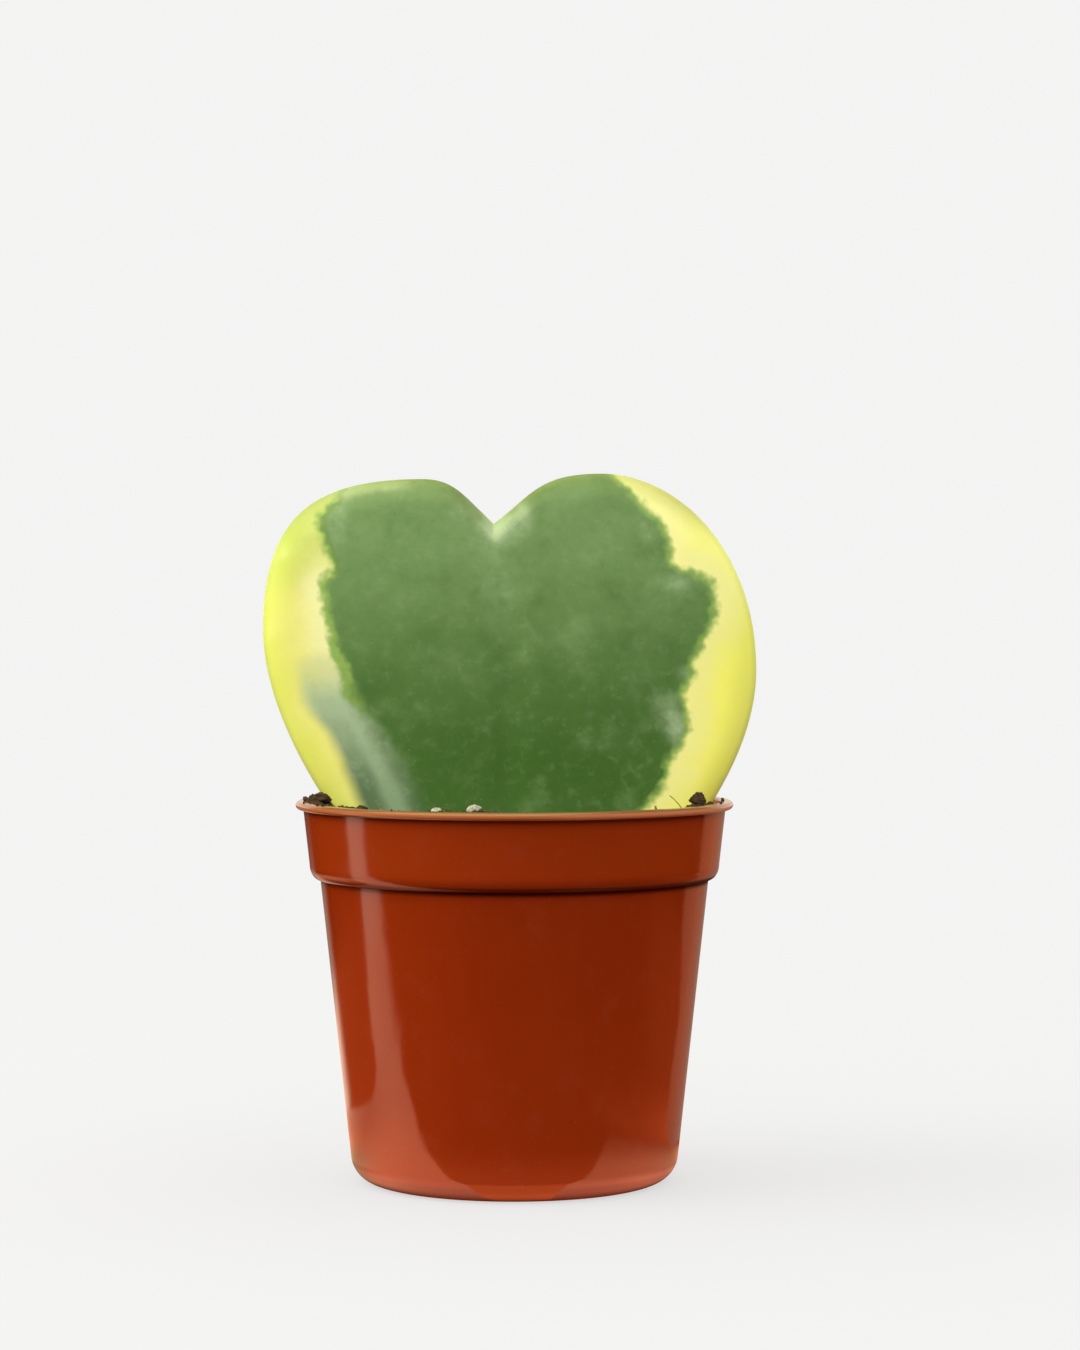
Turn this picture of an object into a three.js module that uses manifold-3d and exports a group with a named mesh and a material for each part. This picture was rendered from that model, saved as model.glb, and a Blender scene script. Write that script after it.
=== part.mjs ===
// Potted heart-leaf hoya: one thick variegated leaf, rooted in compost in a small plastic pot.
// Millimetres, +Z up. The leaf's face looks along -Y, and +X is on its right as it is seen.
// The origin is on the pot's axis, in the plane that the pot stands on.
import * as THREE from 'three';
import { mergeVertices } from 'three/addons/utils/BufferGeometryUtils.js';
import Module from 'manifold-3d';

const wasm = await Module();
wasm.setup();

// Clearance between pieces that touch
const GAP = 0.3;

// Pot: overall size and wall
const POT_HEIGHT = 52.2;
const RIM_RADIUS = 30;
const WALL = 0.7;

// Pot: rolled lip and rim band
const LIP_HEIGHT = 1.1;
const LIP_INNER_ROUND = 0.35;
const BAND_TOP_RADIUS = 28.95;
const BAND_FOOT_RADIUS = 28.1;
const BAND_CORNER_WIDTH = 1.35;
const BAND_CORNER_HEIGHT = 2.0;

// Pot: step under the band, and tapered body down to a rounded foot
const STEP_HEIGHT = 41.5;
const BODY_TOP_RADIUS = 26.63;
const BODY_FOOT_RADIUS = 22.1;
const FOOT_ROUND = 3.7;

// Pot: drainage channel in the underside, with a ring of holes in it
const PAD_RADIUS = 6.5;
const CHANNEL_RADIUS = 15.5;
const CHANNEL_DEPTH = 1.0;
const CHANNEL_RAMP = 1.0;
const HOLE_COUNT = 6;
const HOLE_RADIUS = 1.8;
const HOLE_CIRCLE = 11;

// Compost: height of its surface, and how far it climbs the wall at the two ends of the leaf
const COMPOST_LEVEL = 49.5;
const COMPOST_RISE_LEFT = 2.2;
const COMPOST_RISE_RIGHT = 1.0;
const DOME_COUNT = 110;
const DOME_RADIUS = [1.6, 3.2];
const DOME_HEIGHT = [0.2, 1.2];
const LUMP_COUNT = 32;
const LUMP_RADIUS = [0.8, 1.8];
const LUMP_WIDTH = [0.6, 1];
const LUMP_FLATNESS = 0.6;

// Leaf outline in its own plane, as seen from the front: landmarks, and the handles of its curves
const NOTCH = [-2.9, 90.2];
const LEFT_LOBE = [-12.85, 96.4];
const LEFT_SIDE = [-34.8, 75.8];
const BASE_TIP = [-0.3, 27.2];
const RIGHT_SIDE = [33.4, 70.05];
const RIGHT_LOBE = [12, 97.15];
const NOTCH_LEFT_HANDLE = [-4.35, 4.15];
const NOTCH_RIGHT_HANDLE = [5.4, 4.05];
const TIP_LEFT_HANDLE = [-20.6, 12.9];
const TIP_RIGHT_HANDLE = [20.7, 11.1];
const LEFT_LOBE_REACH = [4.4, 15.2];
const RIGHT_LOBE_REACH = [8.7, 10.3];
const LEFT_SIDE_REACH = [15.4, 14.3];
const RIGHT_SIDE_REACH = [16.9, 13.7];

// Leaf body: thickness, how blunt its margin is, and how it leans and turns back
const LEAF_THICKNESS = 4.2;
const LEAF_HEART = [-0.8, 65.7];
const MARGIN_SPREAD = 0.6;
const MARGIN_BLUNTNESS = 0.36;
const LEAF_LEAN = 0.05;
const SIDE_CURL = 2.2;
const TOP_CURL = 1.6;
const CURL_START = 71.7;
const LEAF_HALF_WIDTH = 33.8;
const MIDRIB_DEPTH = 0.35;
const MIDRIB_WIDTH = 2.2;

// Stalk and roots, in the compost
const STALK_RADIUS = 2.1;
const STALK_TOP = 33;
const STALK_MIDDLE = 26;
const STALK_FOOT = 19;
const STALK_BEND = 0.8;
const ROOT_COUNT = 5;
const ROOT_RADIUS = 0.7;
const ROOT_REACH = 13;
const ROOT_DROP = 9;
const ROOT_START = 1.5;
const ROOT_BEND = [[0, 0], [0.35, 0.1], [0.7, 0.45], [1, 1]];

// Loose bits in the top of the compost: place, height of the little mound under each, half sizes
// and turn
const PERLITE_GRAINS = [
  { x: -5.5, y: -5.0, mound: 1.25, half: [1.0, 0.8, 0.65], turn: 0.3 },
  { x: -10.6, y: -5.6, mound: 1.2, half: [0.7, 0.65, 0.5], turn: 1.3 },
  { x: 5.6, y: -17.5, mound: 0.8, half: [1.3, 1.0, 0.8], turn: 2.2 },
  { x: 11.0, y: 12.5, mound: 1.0, half: [1.4, 1.1, 0.9], turn: 0.9 },
  { x: -13.5, y: 15.0, mound: 0.9, half: [1.2, 1.2, 0.8], turn: 2.9 },
];
const BARK_CHIPS = [
  { x: -25.9, y: -4.7, mound: 1.0, half: [1.3, 1.2, 0.9], turn: 0.5 },
  { x: 25.0, y: -7.4, mound: 1.9, half: [1.3, 1.2, 1.1], turn: 2.7 },
  { x: -8.5, y: -19.0, mound: 0.8, half: [2.3, 1.3, 0.8], turn: 0.7 },
  { x: 6.0, y: 20.0, mound: 0.9, half: [2.5, 1.4, 0.9], turn: 2.0 },
];
const MOUND_RADIUS = 2.6;
const BIT_SEAT = 0.5;
const FACET_REACH = [0.84, 1.14];
const FACET_TILT = 0.35;
const PERLITE_SEED = 201;
const BARK_SEED = 301;

// Room above the rim in which the compost may stand up
const HEADROOM = 4;

// Colours and roughness
const LEAF_FINISH = { color: 0x4e7a38, roughness: 0.45 };
const COMPOST_FINISH = { color: 0x33231a, roughness: 0.95 };
const POT_FINISH = { color: 0x8c3410, roughness: 0.25 };
const PERLITE_FINISH = { color: 0xd8d6c8, roughness: 0.95 };
const BARK_FINISH = { color: 0x4a3118, roughness: 0.9 };

// Fineness of the faceted surfaces
const POT_SIDES = 60;
const POT_ARC_STEPS = 2;
const COMPOST_SIDES = 56;
const COMPOST_RINGS = 14;
const COMPOST_ARC_STEPS = 1;
const LEAF_SIDES = 84;
const LEAF_RINGS = 12;
const STALK_SIDES = 10;
const ROOT_SIDES = 6;
const ROD_STEPS = 6;
const HOLE_SIDES = 12;
const WELD = 1e-4;

const GOLDEN_ANGLE = Math.PI * (3 - Math.sqrt(5));
const TAPER = Math.atan((BODY_TOP_RADIUS - BODY_FOOT_RADIUS) / STEP_HEIGHT);
const FOOT_CENTRE = BODY_FOOT_RADIUS + FOOT_ROUND * Math.tan(TAPER) - FOOT_ROUND / Math.cos(TAPER);

// A repeatable number from 0 to 1 for a bit and one of its traits
function draw(index, trait) {
  const value = Math.sin(index * 12.9898 + trait * 78.233) * 43758.5453;
  return value - Math.floor(value);
}

function between([low, high], share) {
  return low + (high - low) * share;
}

// A closed geometry as a solid: shared vertices merged, triangles without area left out
function solidOf(geometry) {
  const bare = geometry.clone();
  bare.deleteAttribute('normal');
  bare.deleteAttribute('uv');
  const merged = mergeVertices(bare, WELD);
  const index = merged.index.array;
  const kept = [];
  for (let i = 0; i < index.length; i += 3) {
    const [a, b, c] = [index[i], index[i + 1], index[i + 2]];
    if (a !== b && b !== c && c !== a) kept.push(a, b, c);
  }
  return new wasm.Manifold(new wasm.Mesh({
    numProp: 3,
    vertProperties: new Float32Array(merged.attributes.position.array),
    triVerts: new Uint32Array(kept),
  }));
}

function geometryOf(solid) {
  const mesh = solid.getMesh();
  const geometry = new THREE.BufferGeometry();
  geometry.setAttribute('position', new THREE.BufferAttribute(mesh.vertProperties, 3));
  geometry.setIndex(new THREE.BufferAttribute(mesh.triVerts, 1));
  geometry.computeVertexNormals();
  return geometry;
}

function piece(name, solid, finish) {
  const material = new THREE.MeshStandardMaterial({ ...finish, metalness: 0 });
  const mesh = new THREE.Mesh(geometryOf(solid), material);
  mesh.name = name;
  return mesh;
}

// The pot's section from the axis at its underside, round the foot, up the body, round the step
// and up the band to the height top. inset moves it inwards: 0 is the outer skin, WALL the inner
// skin, and WALL + GAP the outside of the compost.
function potSection(inset, top, arcSteps) {
  const bandCentre = BAND_FOOT_RADIUS - BAND_CORNER_WIDTH;
  const bandStart = STEP_HEIGHT + BAND_CORNER_HEIGHT;
  const bandHeight = POT_HEIGHT - LIP_HEIGHT - bandStart;
  const flare = (BAND_TOP_RADIUS - BAND_FOOT_RADIUS) / bandHeight;
  const section = new THREE.Path();
  section.moveTo(0, inset);
  section.lineTo(PAD_RADIUS, inset);
  section.lineTo(PAD_RADIUS + CHANNEL_RAMP, CHANNEL_DEPTH + inset);
  section.lineTo(CHANNEL_RADIUS - CHANNEL_RAMP, CHANNEL_DEPTH + inset);
  section.lineTo(CHANNEL_RADIUS, inset);
  section.absarc(FOOT_CENTRE, FOOT_ROUND, FOOT_ROUND - inset, -Math.PI / 2, -TAPER, false);
  section.lineTo(BODY_TOP_RADIUS - inset, STEP_HEIGHT + inset);
  section.absellipse(
    bandCentre, bandStart, BAND_CORNER_WIDTH - inset, BAND_CORNER_HEIGHT - inset,
    -Math.PI / 2, 0, false, 0);
  section.lineTo(BAND_FOOT_RADIUS + flare * (top - bandStart) - inset, top);
  return section.getPoints(arcSteps);
}

// A section turned once round the pot's axis
function turned(section, sides) {
  return new THREE.LatheGeometry(section, sides).rotateX(Math.PI / 2);
}

function makePot() {
  const lipRound = LIP_HEIGHT / 2;
  const outer = potSection(0, POT_HEIGHT - LIP_HEIGHT, POT_ARC_STEPS);
  const inner = potSection(WALL, POT_HEIGHT - LIP_INNER_ROUND, POT_ARC_STEPS).reverse();
  const innerRadius = inner[0].x;
  const lip = new THREE.Path();
  lip.absarc(RIM_RADIUS - lipRound, POT_HEIGHT - lipRound, lipRound, -Math.PI / 2, Math.PI / 2, false);
  lip.absarc(
    innerRadius + LIP_INNER_ROUND, POT_HEIGHT - LIP_INNER_ROUND, LIP_INNER_ROUND,
    Math.PI / 2, Math.PI, false);
  const section = [...outer, ...lip.getPoints(POT_ARC_STEPS), ...inner];
  let pot = solidOf(turned(section, POT_SIDES));
  for (let i = 0; i < HOLE_COUNT; i += 1) {
    const angle = (i + 0.5) * 2 * Math.PI / HOLE_COUNT;
    const hole = new THREE.CylinderGeometry(HOLE_RADIUS, HOLE_RADIUS, 4 * WALL, HOLE_SIDES)
      .rotateX(Math.PI / 2)
      .translate(HOLE_CIRCLE * Math.cos(angle), HOLE_CIRCLE * Math.sin(angle), CHANNEL_DEPTH + WALL / 2);
    pot = pot.subtract(solidOf(hole));
  }
  return pot;
}

// Height of the compost: a level that climbs towards both ends of the leaf, with the highest of
// many overlapping round domes on it
const DOMES = Array.from({ length: DOME_COUNT }, (_, i) => {
  const distance = (BAND_FOOT_RADIUS - 1) * Math.sqrt((i + 0.5) / DOME_COUNT);
  const angle = i * GOLDEN_ANGLE + draw(i, 1);
  return {
    x: distance * Math.cos(angle),
    y: distance * Math.sin(angle),
    radius: between(DOME_RADIUS, draw(i, 2)),
    height: between(DOME_HEIGHT, draw(i, 3)),
  };
});
for (const bit of [...PERLITE_GRAINS, ...BARK_CHIPS]) {
  DOMES.push({ x: bit.x, y: bit.y, radius: MOUND_RADIUS, height: bit.mound });
}

function compostHeight(x, y) {
  const rise = x < 0 ? COMPOST_RISE_LEFT : COMPOST_RISE_RIGHT;
  const level = COMPOST_LEVEL + rise * (x / BAND_FOOT_RADIUS) ** 4;
  let crumb = 0;
  for (const dome of DOMES) {
    const away = ((x - dome.x) ** 2 + (y - dome.y) ** 2) / dome.radius ** 2;
    if (away < 1) crumb = Math.max(crumb, dome.height * Math.sqrt(1 - away));
  }
  return level + crumb;
}

// A rough lump: a ball of few faces whose corners are drawn in or out, flattened and turned
function lumpGeometry(seed, half, turn, detail) {
  const ball = new THREE.IcosahedronGeometry(1, detail);
  ball.deleteAttribute('normal');
  ball.deleteAttribute('uv');
  const lump = mergeVertices(ball, WELD);
  const position = lump.attributes.position;
  const corner = new THREE.Vector3();
  for (let i = 0; i < position.count; i += 1) {
    corner.fromBufferAttribute(position, i);
    corner.multiplyScalar(between(FACET_REACH, draw(seed * position.count + i, 4)));
    position.setXYZ(i, ...corner.toArray());
  }
  return lump.scale(...half).rotateX(FACET_TILT * (draw(seed, 5) - 0.5)).rotateZ(turn);
}

// Leaf outline, once round from the notch: down the left side to the tip and up the right side
function leafOutline() {
  const outline = new THREE.Shape();
  outline.moveTo(...NOTCH);
  outline.bezierCurveTo(
    NOTCH[0] + NOTCH_LEFT_HANDLE[0], NOTCH[1] + NOTCH_LEFT_HANDLE[1],
    LEFT_LOBE[0] + LEFT_LOBE_REACH[0], LEFT_LOBE[1], ...LEFT_LOBE);
  outline.bezierCurveTo(
    LEFT_LOBE[0] - LEFT_LOBE_REACH[1], LEFT_LOBE[1],
    LEFT_SIDE[0], LEFT_SIDE[1] + LEFT_SIDE_REACH[0], ...LEFT_SIDE);
  outline.bezierCurveTo(
    LEFT_SIDE[0], LEFT_SIDE[1] - LEFT_SIDE_REACH[1],
    BASE_TIP[0] + TIP_LEFT_HANDLE[0], BASE_TIP[1] + TIP_LEFT_HANDLE[1], ...BASE_TIP);
  outline.bezierCurveTo(
    BASE_TIP[0] + TIP_RIGHT_HANDLE[0], BASE_TIP[1] + TIP_RIGHT_HANDLE[1],
    RIGHT_SIDE[0], RIGHT_SIDE[1] - RIGHT_SIDE_REACH[1], ...RIGHT_SIDE);
  outline.bezierCurveTo(
    RIGHT_SIDE[0], RIGHT_SIDE[1] + RIGHT_SIDE_REACH[0],
    RIGHT_LOBE[0] + RIGHT_LOBE_REACH[1], RIGHT_LOBE[1], ...RIGHT_LOBE);
  outline.bezierCurveTo(
    RIGHT_LOBE[0] - RIGHT_LOBE_REACH[0], RIGHT_LOBE[1],
    NOTCH[0] + NOTCH_RIGHT_HANDLE[0], NOTCH[1] + NOTCH_RIGHT_HANDLE[1], ...NOTCH);
  return outline;
}

// How far back the middle of the blade lies at a place in the outline's plane
function bladeDepth(x, z) {
  const side = Math.abs(x - LEAF_HEART[0]) / LEAF_HALF_WIDTH;
  const top = Math.max(0, z - CURL_START) / (RIGHT_LOBE[1] - CURL_START);
  return LEAF_LEAN * (z - COMPOST_LEVEL) + SIDE_CURL * side ** 2.5 + TOP_CURL * top ** 2;
}

// The blade: a ball pressed flat into the outline. Along a meridian at angle t from the middle of
// the face, a point lies sin(t)^MARGIN_SPREAD of the way to the margin, and the half thickness
// falls as cos(t)^MARGIN_BLUNTNESS. A shallow groove runs up the middle of the face. grow makes it
// thicker and wider by that much all round, for the hole that it stands in.
function makeBlade(grow) {
  const outline = leafOutline();
  const rim = [];
  for (let i = 0; i <= LEAF_SIDES; i += 1) {
    const share = (i % LEAF_SIDES) / LEAF_SIDES;
    const at = outline.getPointAt(share);
    const along = outline.getTangentAt(share);
    rim.push([at.x + along.y * grow, at.y - along.x * grow]);
  }
  const blade = new THREE.SphereGeometry(1, LEAF_SIDES, LEAF_RINGS);
  const position = blade.attributes.position;
  for (let ring = 0; ring <= LEAF_RINGS; ring += 1) {
    const t = Math.PI * ring / LEAF_RINGS;
    const share = Math.max(0, Math.sin(t)) ** MARGIN_SPREAD;
    const half = (LEAF_THICKNESS / 2 + grow) * Math.abs(Math.cos(t)) ** MARGIN_BLUNTNESS;
    const side = ring < LEAF_RINGS / 2 ? 1 : -1;
    for (let i = 0; i <= LEAF_SIDES; i += 1) {
      const x = LEAF_HEART[0] + share * (rim[i][0] - LEAF_HEART[0]);
      const z = LEAF_HEART[1] + share * (rim[i][1] - LEAF_HEART[1]);
      const across = (x - LEAF_HEART[0]) / MIDRIB_WIDTH;
      const groove = side > 0 ? MIDRIB_DEPTH * Math.exp(-across * across) * (1 - share) : 0;
      const y = bladeDepth(x, z) - side * half + groove;
      position.setXYZ(ring * (LEAF_SIDES + 1) + i, x, y, z);
    }
  }
  return solidOf(blade);
}

// A round rod along a smooth curve through the given points
function rod(points, radius, sides) {
  const path = new THREE.CatmullRomCurve3(points.map((p) => new THREE.Vector3(...p)));
  const round = new THREE.Shape().absarc(0, 0, radius, 0, 2 * Math.PI, false);
  return solidOf(new THREE.ExtrudeGeometry(round, {
    steps: ROD_STEPS,
    curveSegments: sides / 2,
    bevelEnabled: false,
    extrudePath: path,
  }));
}

// The whole leaf: blade, stalk, and roots that spread from the foot of the stalk
function makeLeaf(grow) {
  const tip = bladeDepth(BASE_TIP[0], BASE_TIP[1]);
  const foot = [BASE_TIP[0] - STALK_BEND, tip - STALK_BEND, STALK_FOOT];
  const stalk = [
    [BASE_TIP[0], tip, STALK_TOP],
    [BASE_TIP[0], tip, STALK_MIDDLE],
    [foot[0], foot[1], foot[2] - grow],
  ];
  let leaf = makeBlade(grow).add(rod(stalk, STALK_RADIUS + grow, STALK_SIDES));
  for (let i = 0; i < ROOT_COUNT; i += 1) {
    const angle = (i + 0.6 * draw(i, 6)) * 2 * Math.PI / ROOT_COUNT;
    const reach = ROOT_REACH * between([0.75, 1], draw(i, 7)) + grow;
    const drop = ROOT_DROP * between([0.7, 1], draw(i, 8));
    const root = ROOT_BEND.map(([share, fall]) => [
      foot[0] + reach * share * Math.cos(angle),
      foot[1] + reach * share * Math.sin(angle),
      foot[2] + ROOT_START - drop * fall,
    ]);
    leaf = leaf.add(rod(root, ROOT_RADIUS + grow, ROOT_SIDES));
  }
  return leaf;
}

// The compost: a plug that fills the pot, with lumps fused to its surface, and with room for the
// leaf and for each loose bit
function makeCompost(room) {
  const edge = potSection(WALL + GAP, COMPOST_LEVEL, COMPOST_ARC_STEPS);
  const reach = edge[edge.length - 1].x;
  const surface = [];
  for (let ring = 1; ring <= COMPOST_RINGS; ring += 1) {
    surface.push(new THREE.Vector2(reach * (1 - ring / COMPOST_RINGS), COMPOST_LEVEL));
  }
  const plug = turned([...edge, ...surface], COMPOST_SIDES);
  const position = plug.attributes.position;
  for (let i = 0; i < position.count; i += 1) {
    const x = position.getX(i);
    const y = position.getY(i);
    if (position.getZ(i) > COMPOST_LEVEL - WELD) position.setZ(i, compostHeight(x, y));
  }
  let compost = solidOf(plug);
  for (let i = 0; i < LUMP_COUNT; i += 1) {
    const distance = (reach - 0.5) * Math.sqrt((i + 0.5) / LUMP_COUNT);
    const angle = i * GOLDEN_ANGLE + 2 * draw(i, 9);
    const x = distance * Math.cos(angle);
    const y = distance * Math.sin(angle);
    const size = between(LUMP_RADIUS, draw(i, 10));
    const half = [size, size * between(LUMP_WIDTH, draw(i, 11)), size * LUMP_FLATNESS];
    const lump = lumpGeometry(i, half, 2 * Math.PI * draw(i, 12), 0);
    compost = compost.add(solidOf(lump.translate(x, y, compostHeight(x, y))));
  }
  const space = potSection(WALL + GAP, POT_HEIGHT + HEADROOM, COMPOST_ARC_STEPS);
  space.push(new THREE.Vector2(0, POT_HEIGHT + HEADROOM));
  compost = compost.intersect(solidOf(turned(space, COMPOST_SIDES)));
  for (const taken of room) compost = compost.subtract(taken);
  const [plugAlone] = compost.decompose().sort((a, b) => b.volume() - a.volume());
  return plugAlone;
}

// A loose bit, partly sunk in its mound. grow makes it larger all round, for its pocket.
function makeBit(bit, seed, grow) {
  const half = bit.half.map((size) => size + grow);
  const seat = compostHeight(bit.x, bit.y) + bit.half[2] * BIT_SEAT;
  return solidOf(lumpGeometry(seed, half, bit.turn, 1).translate(bit.x, bit.y, seat));
}

const plant = new THREE.Group();
plant.name = 'potted_hoya';

const room = [makeLeaf(GAP)];
PERLITE_GRAINS.forEach((grain, i) => {
  plant.add(piece(`perlite_grain_${i + 1}`, makeBit(grain, PERLITE_SEED + i, 0), PERLITE_FINISH));
  room.push(makeBit(grain, PERLITE_SEED + i, GAP));
});
BARK_CHIPS.forEach((chip, i) => {
  plant.add(piece(`bark_chip_${i + 1}`, makeBit(chip, BARK_SEED + i, 0), BARK_FINISH));
  room.push(makeBit(chip, BARK_SEED + i, GAP));
});
plant.add(piece('leaf', makeLeaf(0), LEAF_FINISH));
plant.add(piece('compost', makeCompost(room), COMPOST_FINISH));
plant.add(piece('pot', makePot(), POT_FINISH));

export default plant;
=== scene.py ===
import math

import bmesh
import bpy
import numpy as np
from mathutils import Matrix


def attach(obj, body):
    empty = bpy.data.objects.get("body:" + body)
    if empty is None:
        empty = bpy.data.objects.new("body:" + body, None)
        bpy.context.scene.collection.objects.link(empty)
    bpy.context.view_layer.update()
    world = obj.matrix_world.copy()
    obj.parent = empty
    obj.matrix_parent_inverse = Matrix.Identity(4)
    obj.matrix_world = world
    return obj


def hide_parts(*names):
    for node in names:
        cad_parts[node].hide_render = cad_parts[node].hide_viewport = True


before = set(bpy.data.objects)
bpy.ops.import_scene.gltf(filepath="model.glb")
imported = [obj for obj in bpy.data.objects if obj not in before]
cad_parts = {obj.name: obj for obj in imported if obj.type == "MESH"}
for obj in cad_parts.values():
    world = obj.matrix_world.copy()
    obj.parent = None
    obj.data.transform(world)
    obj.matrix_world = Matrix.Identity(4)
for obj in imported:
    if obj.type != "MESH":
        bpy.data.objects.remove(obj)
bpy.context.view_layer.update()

# Camera. A long lens half a metre in front of the leaf, level with its upper half and tipped
# down by little more than a degree. All lengths in this script are in millimetres.
MM = 0.001
CAMERA_PLACE = (3.5, -500, 80.3)
CAMERA_DIP = math.radians(1.25)
CAMERA_LENS = 97.147
CAMERA_SENSOR = 36

camera_data = bpy.data.cameras.new("camera")
camera_data.sensor_width = CAMERA_SENSOR
camera_data.lens = CAMERA_LENS
camera = bpy.data.objects.new("camera", camera_data)
camera.location = np.array(CAMERA_PLACE) * MM
camera.rotation_euler = (math.pi / 2 - CAMERA_DIP, 0, 0)
bpy.context.scene.collection.objects.link(camera)
bpy.context.scene.camera = camera


# Pot. A small nursery pot, injection-moulded in glossy terracotta-coloured polypropylene: a rolled
# lip, a deep rim band, a step, a tapered body, a rounded foot, and a channel with six holes in the
# underside. Its skin is one thin wall all the way round.
POT_HEIGHT = 52.2
RIM_RADIUS = 30
WALL = 0.7
LIP_HEIGHT = 1.1
LIP_INNER_ROUND = 0.35
BAND_TOP_RADIUS = 28.95
BAND_FOOT_RADIUS = 28.1
BAND_CORNER = (1.35, 2.0)
STEP_HEIGHT = 41.5
BODY_TOP_RADIUS = 26.63
BODY_FOOT_RADIUS = 22.1
FOOT_ROUND = 3.7
PAD_RADIUS = 6.5
CHANNEL_RADIUS = 15.5
CHANNEL_DEPTH = 1.0
CHANNEL_RAMP = 1.0
GATE = ((0, 0.12), (0.75, 0.12), (0.95, 0.4), (2.3, 0.4), (2.6, 0))
HOLE_COUNT = 6
HOLE_RADIUS = 1.8
HOLE_CIRCLE = 11
HOLE_SIDES = 40
POT_SIDES = 240
ARC_POINTS = 14
SHARP_ANGLE = math.radians(38)
# Heights between which the painted shade under the step, and the painted highlight along the band's
# lower corner, come in and go out again, and the height at which the lip starts
UNDER_STEP_SHADE_HEIGHTS = (40.7, 41.4, 41.9, 42.4)
CORNER_HIGHLIGHT_HEIGHTS = (42.1, 42.4, 42.6, 42.9)
LIP_START = (51.15, 51.5)


def arc(centre, radii, start, end):
    """Points on an ellipse: centre + (radius across x cos a, radius up x sin a), a in degrees."""
    angle = np.radians(np.linspace(start, end, ARC_POINTS))
    return np.stack([centre[0] + radii[0] * np.cos(angle), centre[1] + radii[1] * np.sin(angle)], 1)


def pot_section(inset, top, underside=()):
    """The pot's profile as (radius, height): the underside, round the foot, up the tapered body,
    round the step and up the band to the height top. inset moves it into the wall."""
    taper = math.atan((BODY_TOP_RADIUS - BODY_FOOT_RADIUS) / STEP_HEIGHT)
    foot_centre = BODY_FOOT_RADIUS + FOOT_ROUND * math.tan(taper) - FOOT_ROUND / math.cos(taper)
    band_start = STEP_HEIGHT + BAND_CORNER[1]
    band_height = POT_HEIGHT - LIP_HEIGHT - band_start
    flare = (BAND_TOP_RADIUS - BAND_FOOT_RADIUS) / band_height
    floor = [
        *(underside or [(0, inset)]),
        (PAD_RADIUS, inset),
        (PAD_RADIUS + CHANNEL_RAMP, CHANNEL_DEPTH + inset),
        (CHANNEL_RADIUS - CHANNEL_RAMP, CHANNEL_DEPTH + inset),
        (CHANNEL_RADIUS, inset),
    ]
    foot = arc((foot_centre, FOOT_ROUND), [FOOT_ROUND - inset] * 2, -90, -math.degrees(taper))
    corner_radii = (BAND_CORNER[0] - inset, BAND_CORNER[1] - inset)
    corner = arc((BAND_FOOT_RADIUS - BAND_CORNER[0], band_start), corner_radii, -90, 0)
    step = [(BODY_TOP_RADIUS - inset, STEP_HEIGHT + inset)]
    brim = [(BAND_FOOT_RADIUS + flare * (top - band_start) - inset, top)]
    return np.concatenate([floor, foot, step, corner, brim])


def closed_skin(name, rings, first_pole, last_pole):
    """A closed mesh from rings[i, j], an array of places in millimetres, with a pole closing each
    end. Quad (i, j) joins ring i to ring i + 1 between columns j and j + 1, which wrap round. The
    order of the faces follows the sign of the volume, so that they face outwards."""
    count, sides = rings.shape[:2]
    points = np.concatenate([[first_pole], rings.reshape(-1, 3), [last_pole]])
    here = 1 + np.arange(count * sides).reshape(count, sides)
    beside = np.roll(here, -1, axis=1)
    quads = np.stack([here[:-1], beside[:-1], beside[1:], here[1:]], -1).reshape(-1, 4)
    first_fan = np.stack([0 * here[0], beside[0], here[0]], -1)
    last_fan = np.stack([here[-1], beside[-1], 0 * here[-1] + len(points) - 1], -1)
    triangles = np.concatenate([first_fan, last_fan, quads[:, :3], quads[:, [0, 2, 3]]])
    a, b, c = points[triangles].transpose(1, 0, 2)
    if np.sum(a * np.cross(b, c)) < 0:
        quads, first_fan, last_fan = quads[:, ::-1], first_fan[:, ::-1], last_fan[:, ::-1]
    mesh = bpy.data.meshes.new(name)
    mesh.from_pydata(points * MM, [], [*quads.tolist(), *first_fan.tolist(), *last_fan.tolist()])
    mesh.shade_smooth()
    return mesh


def lathe(name, section, sides):
    """A surface of revolution: the section's point (r, z) goes to (r cos a, r sin a, z), once
    round. The section starts and ends on the axis."""
    angle = np.arange(sides) * 2 * math.pi / sides
    radius, height = section[1:-1, 0, None], section[1:-1, 1, None]
    rings = np.stack([radius * np.cos(angle), radius * np.sin(angle), height + 0 * angle], -1)
    return closed_skin(name, rings, (0, 0, section[0, 1]), (0, 0, section[-1, 1]))


def stand(name, mesh, finish):
    """An object at the origin for a mesh that is already in place."""
    mesh.materials.append(finish)
    thing = bpy.data.objects.new(name, mesh)
    bpy.context.scene.collection.objects.link(thing)
    return thing


def rgb(red, green, blue):
    """A colour as light sees it, from the numbers 0 to 255 that a screen shows."""
    share = np.array([red, green, blue]) / 255
    return tuple(np.where(share < 0.04045, share / 12.92, ((share + 0.055) / 1.055) ** 2.4))


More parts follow.
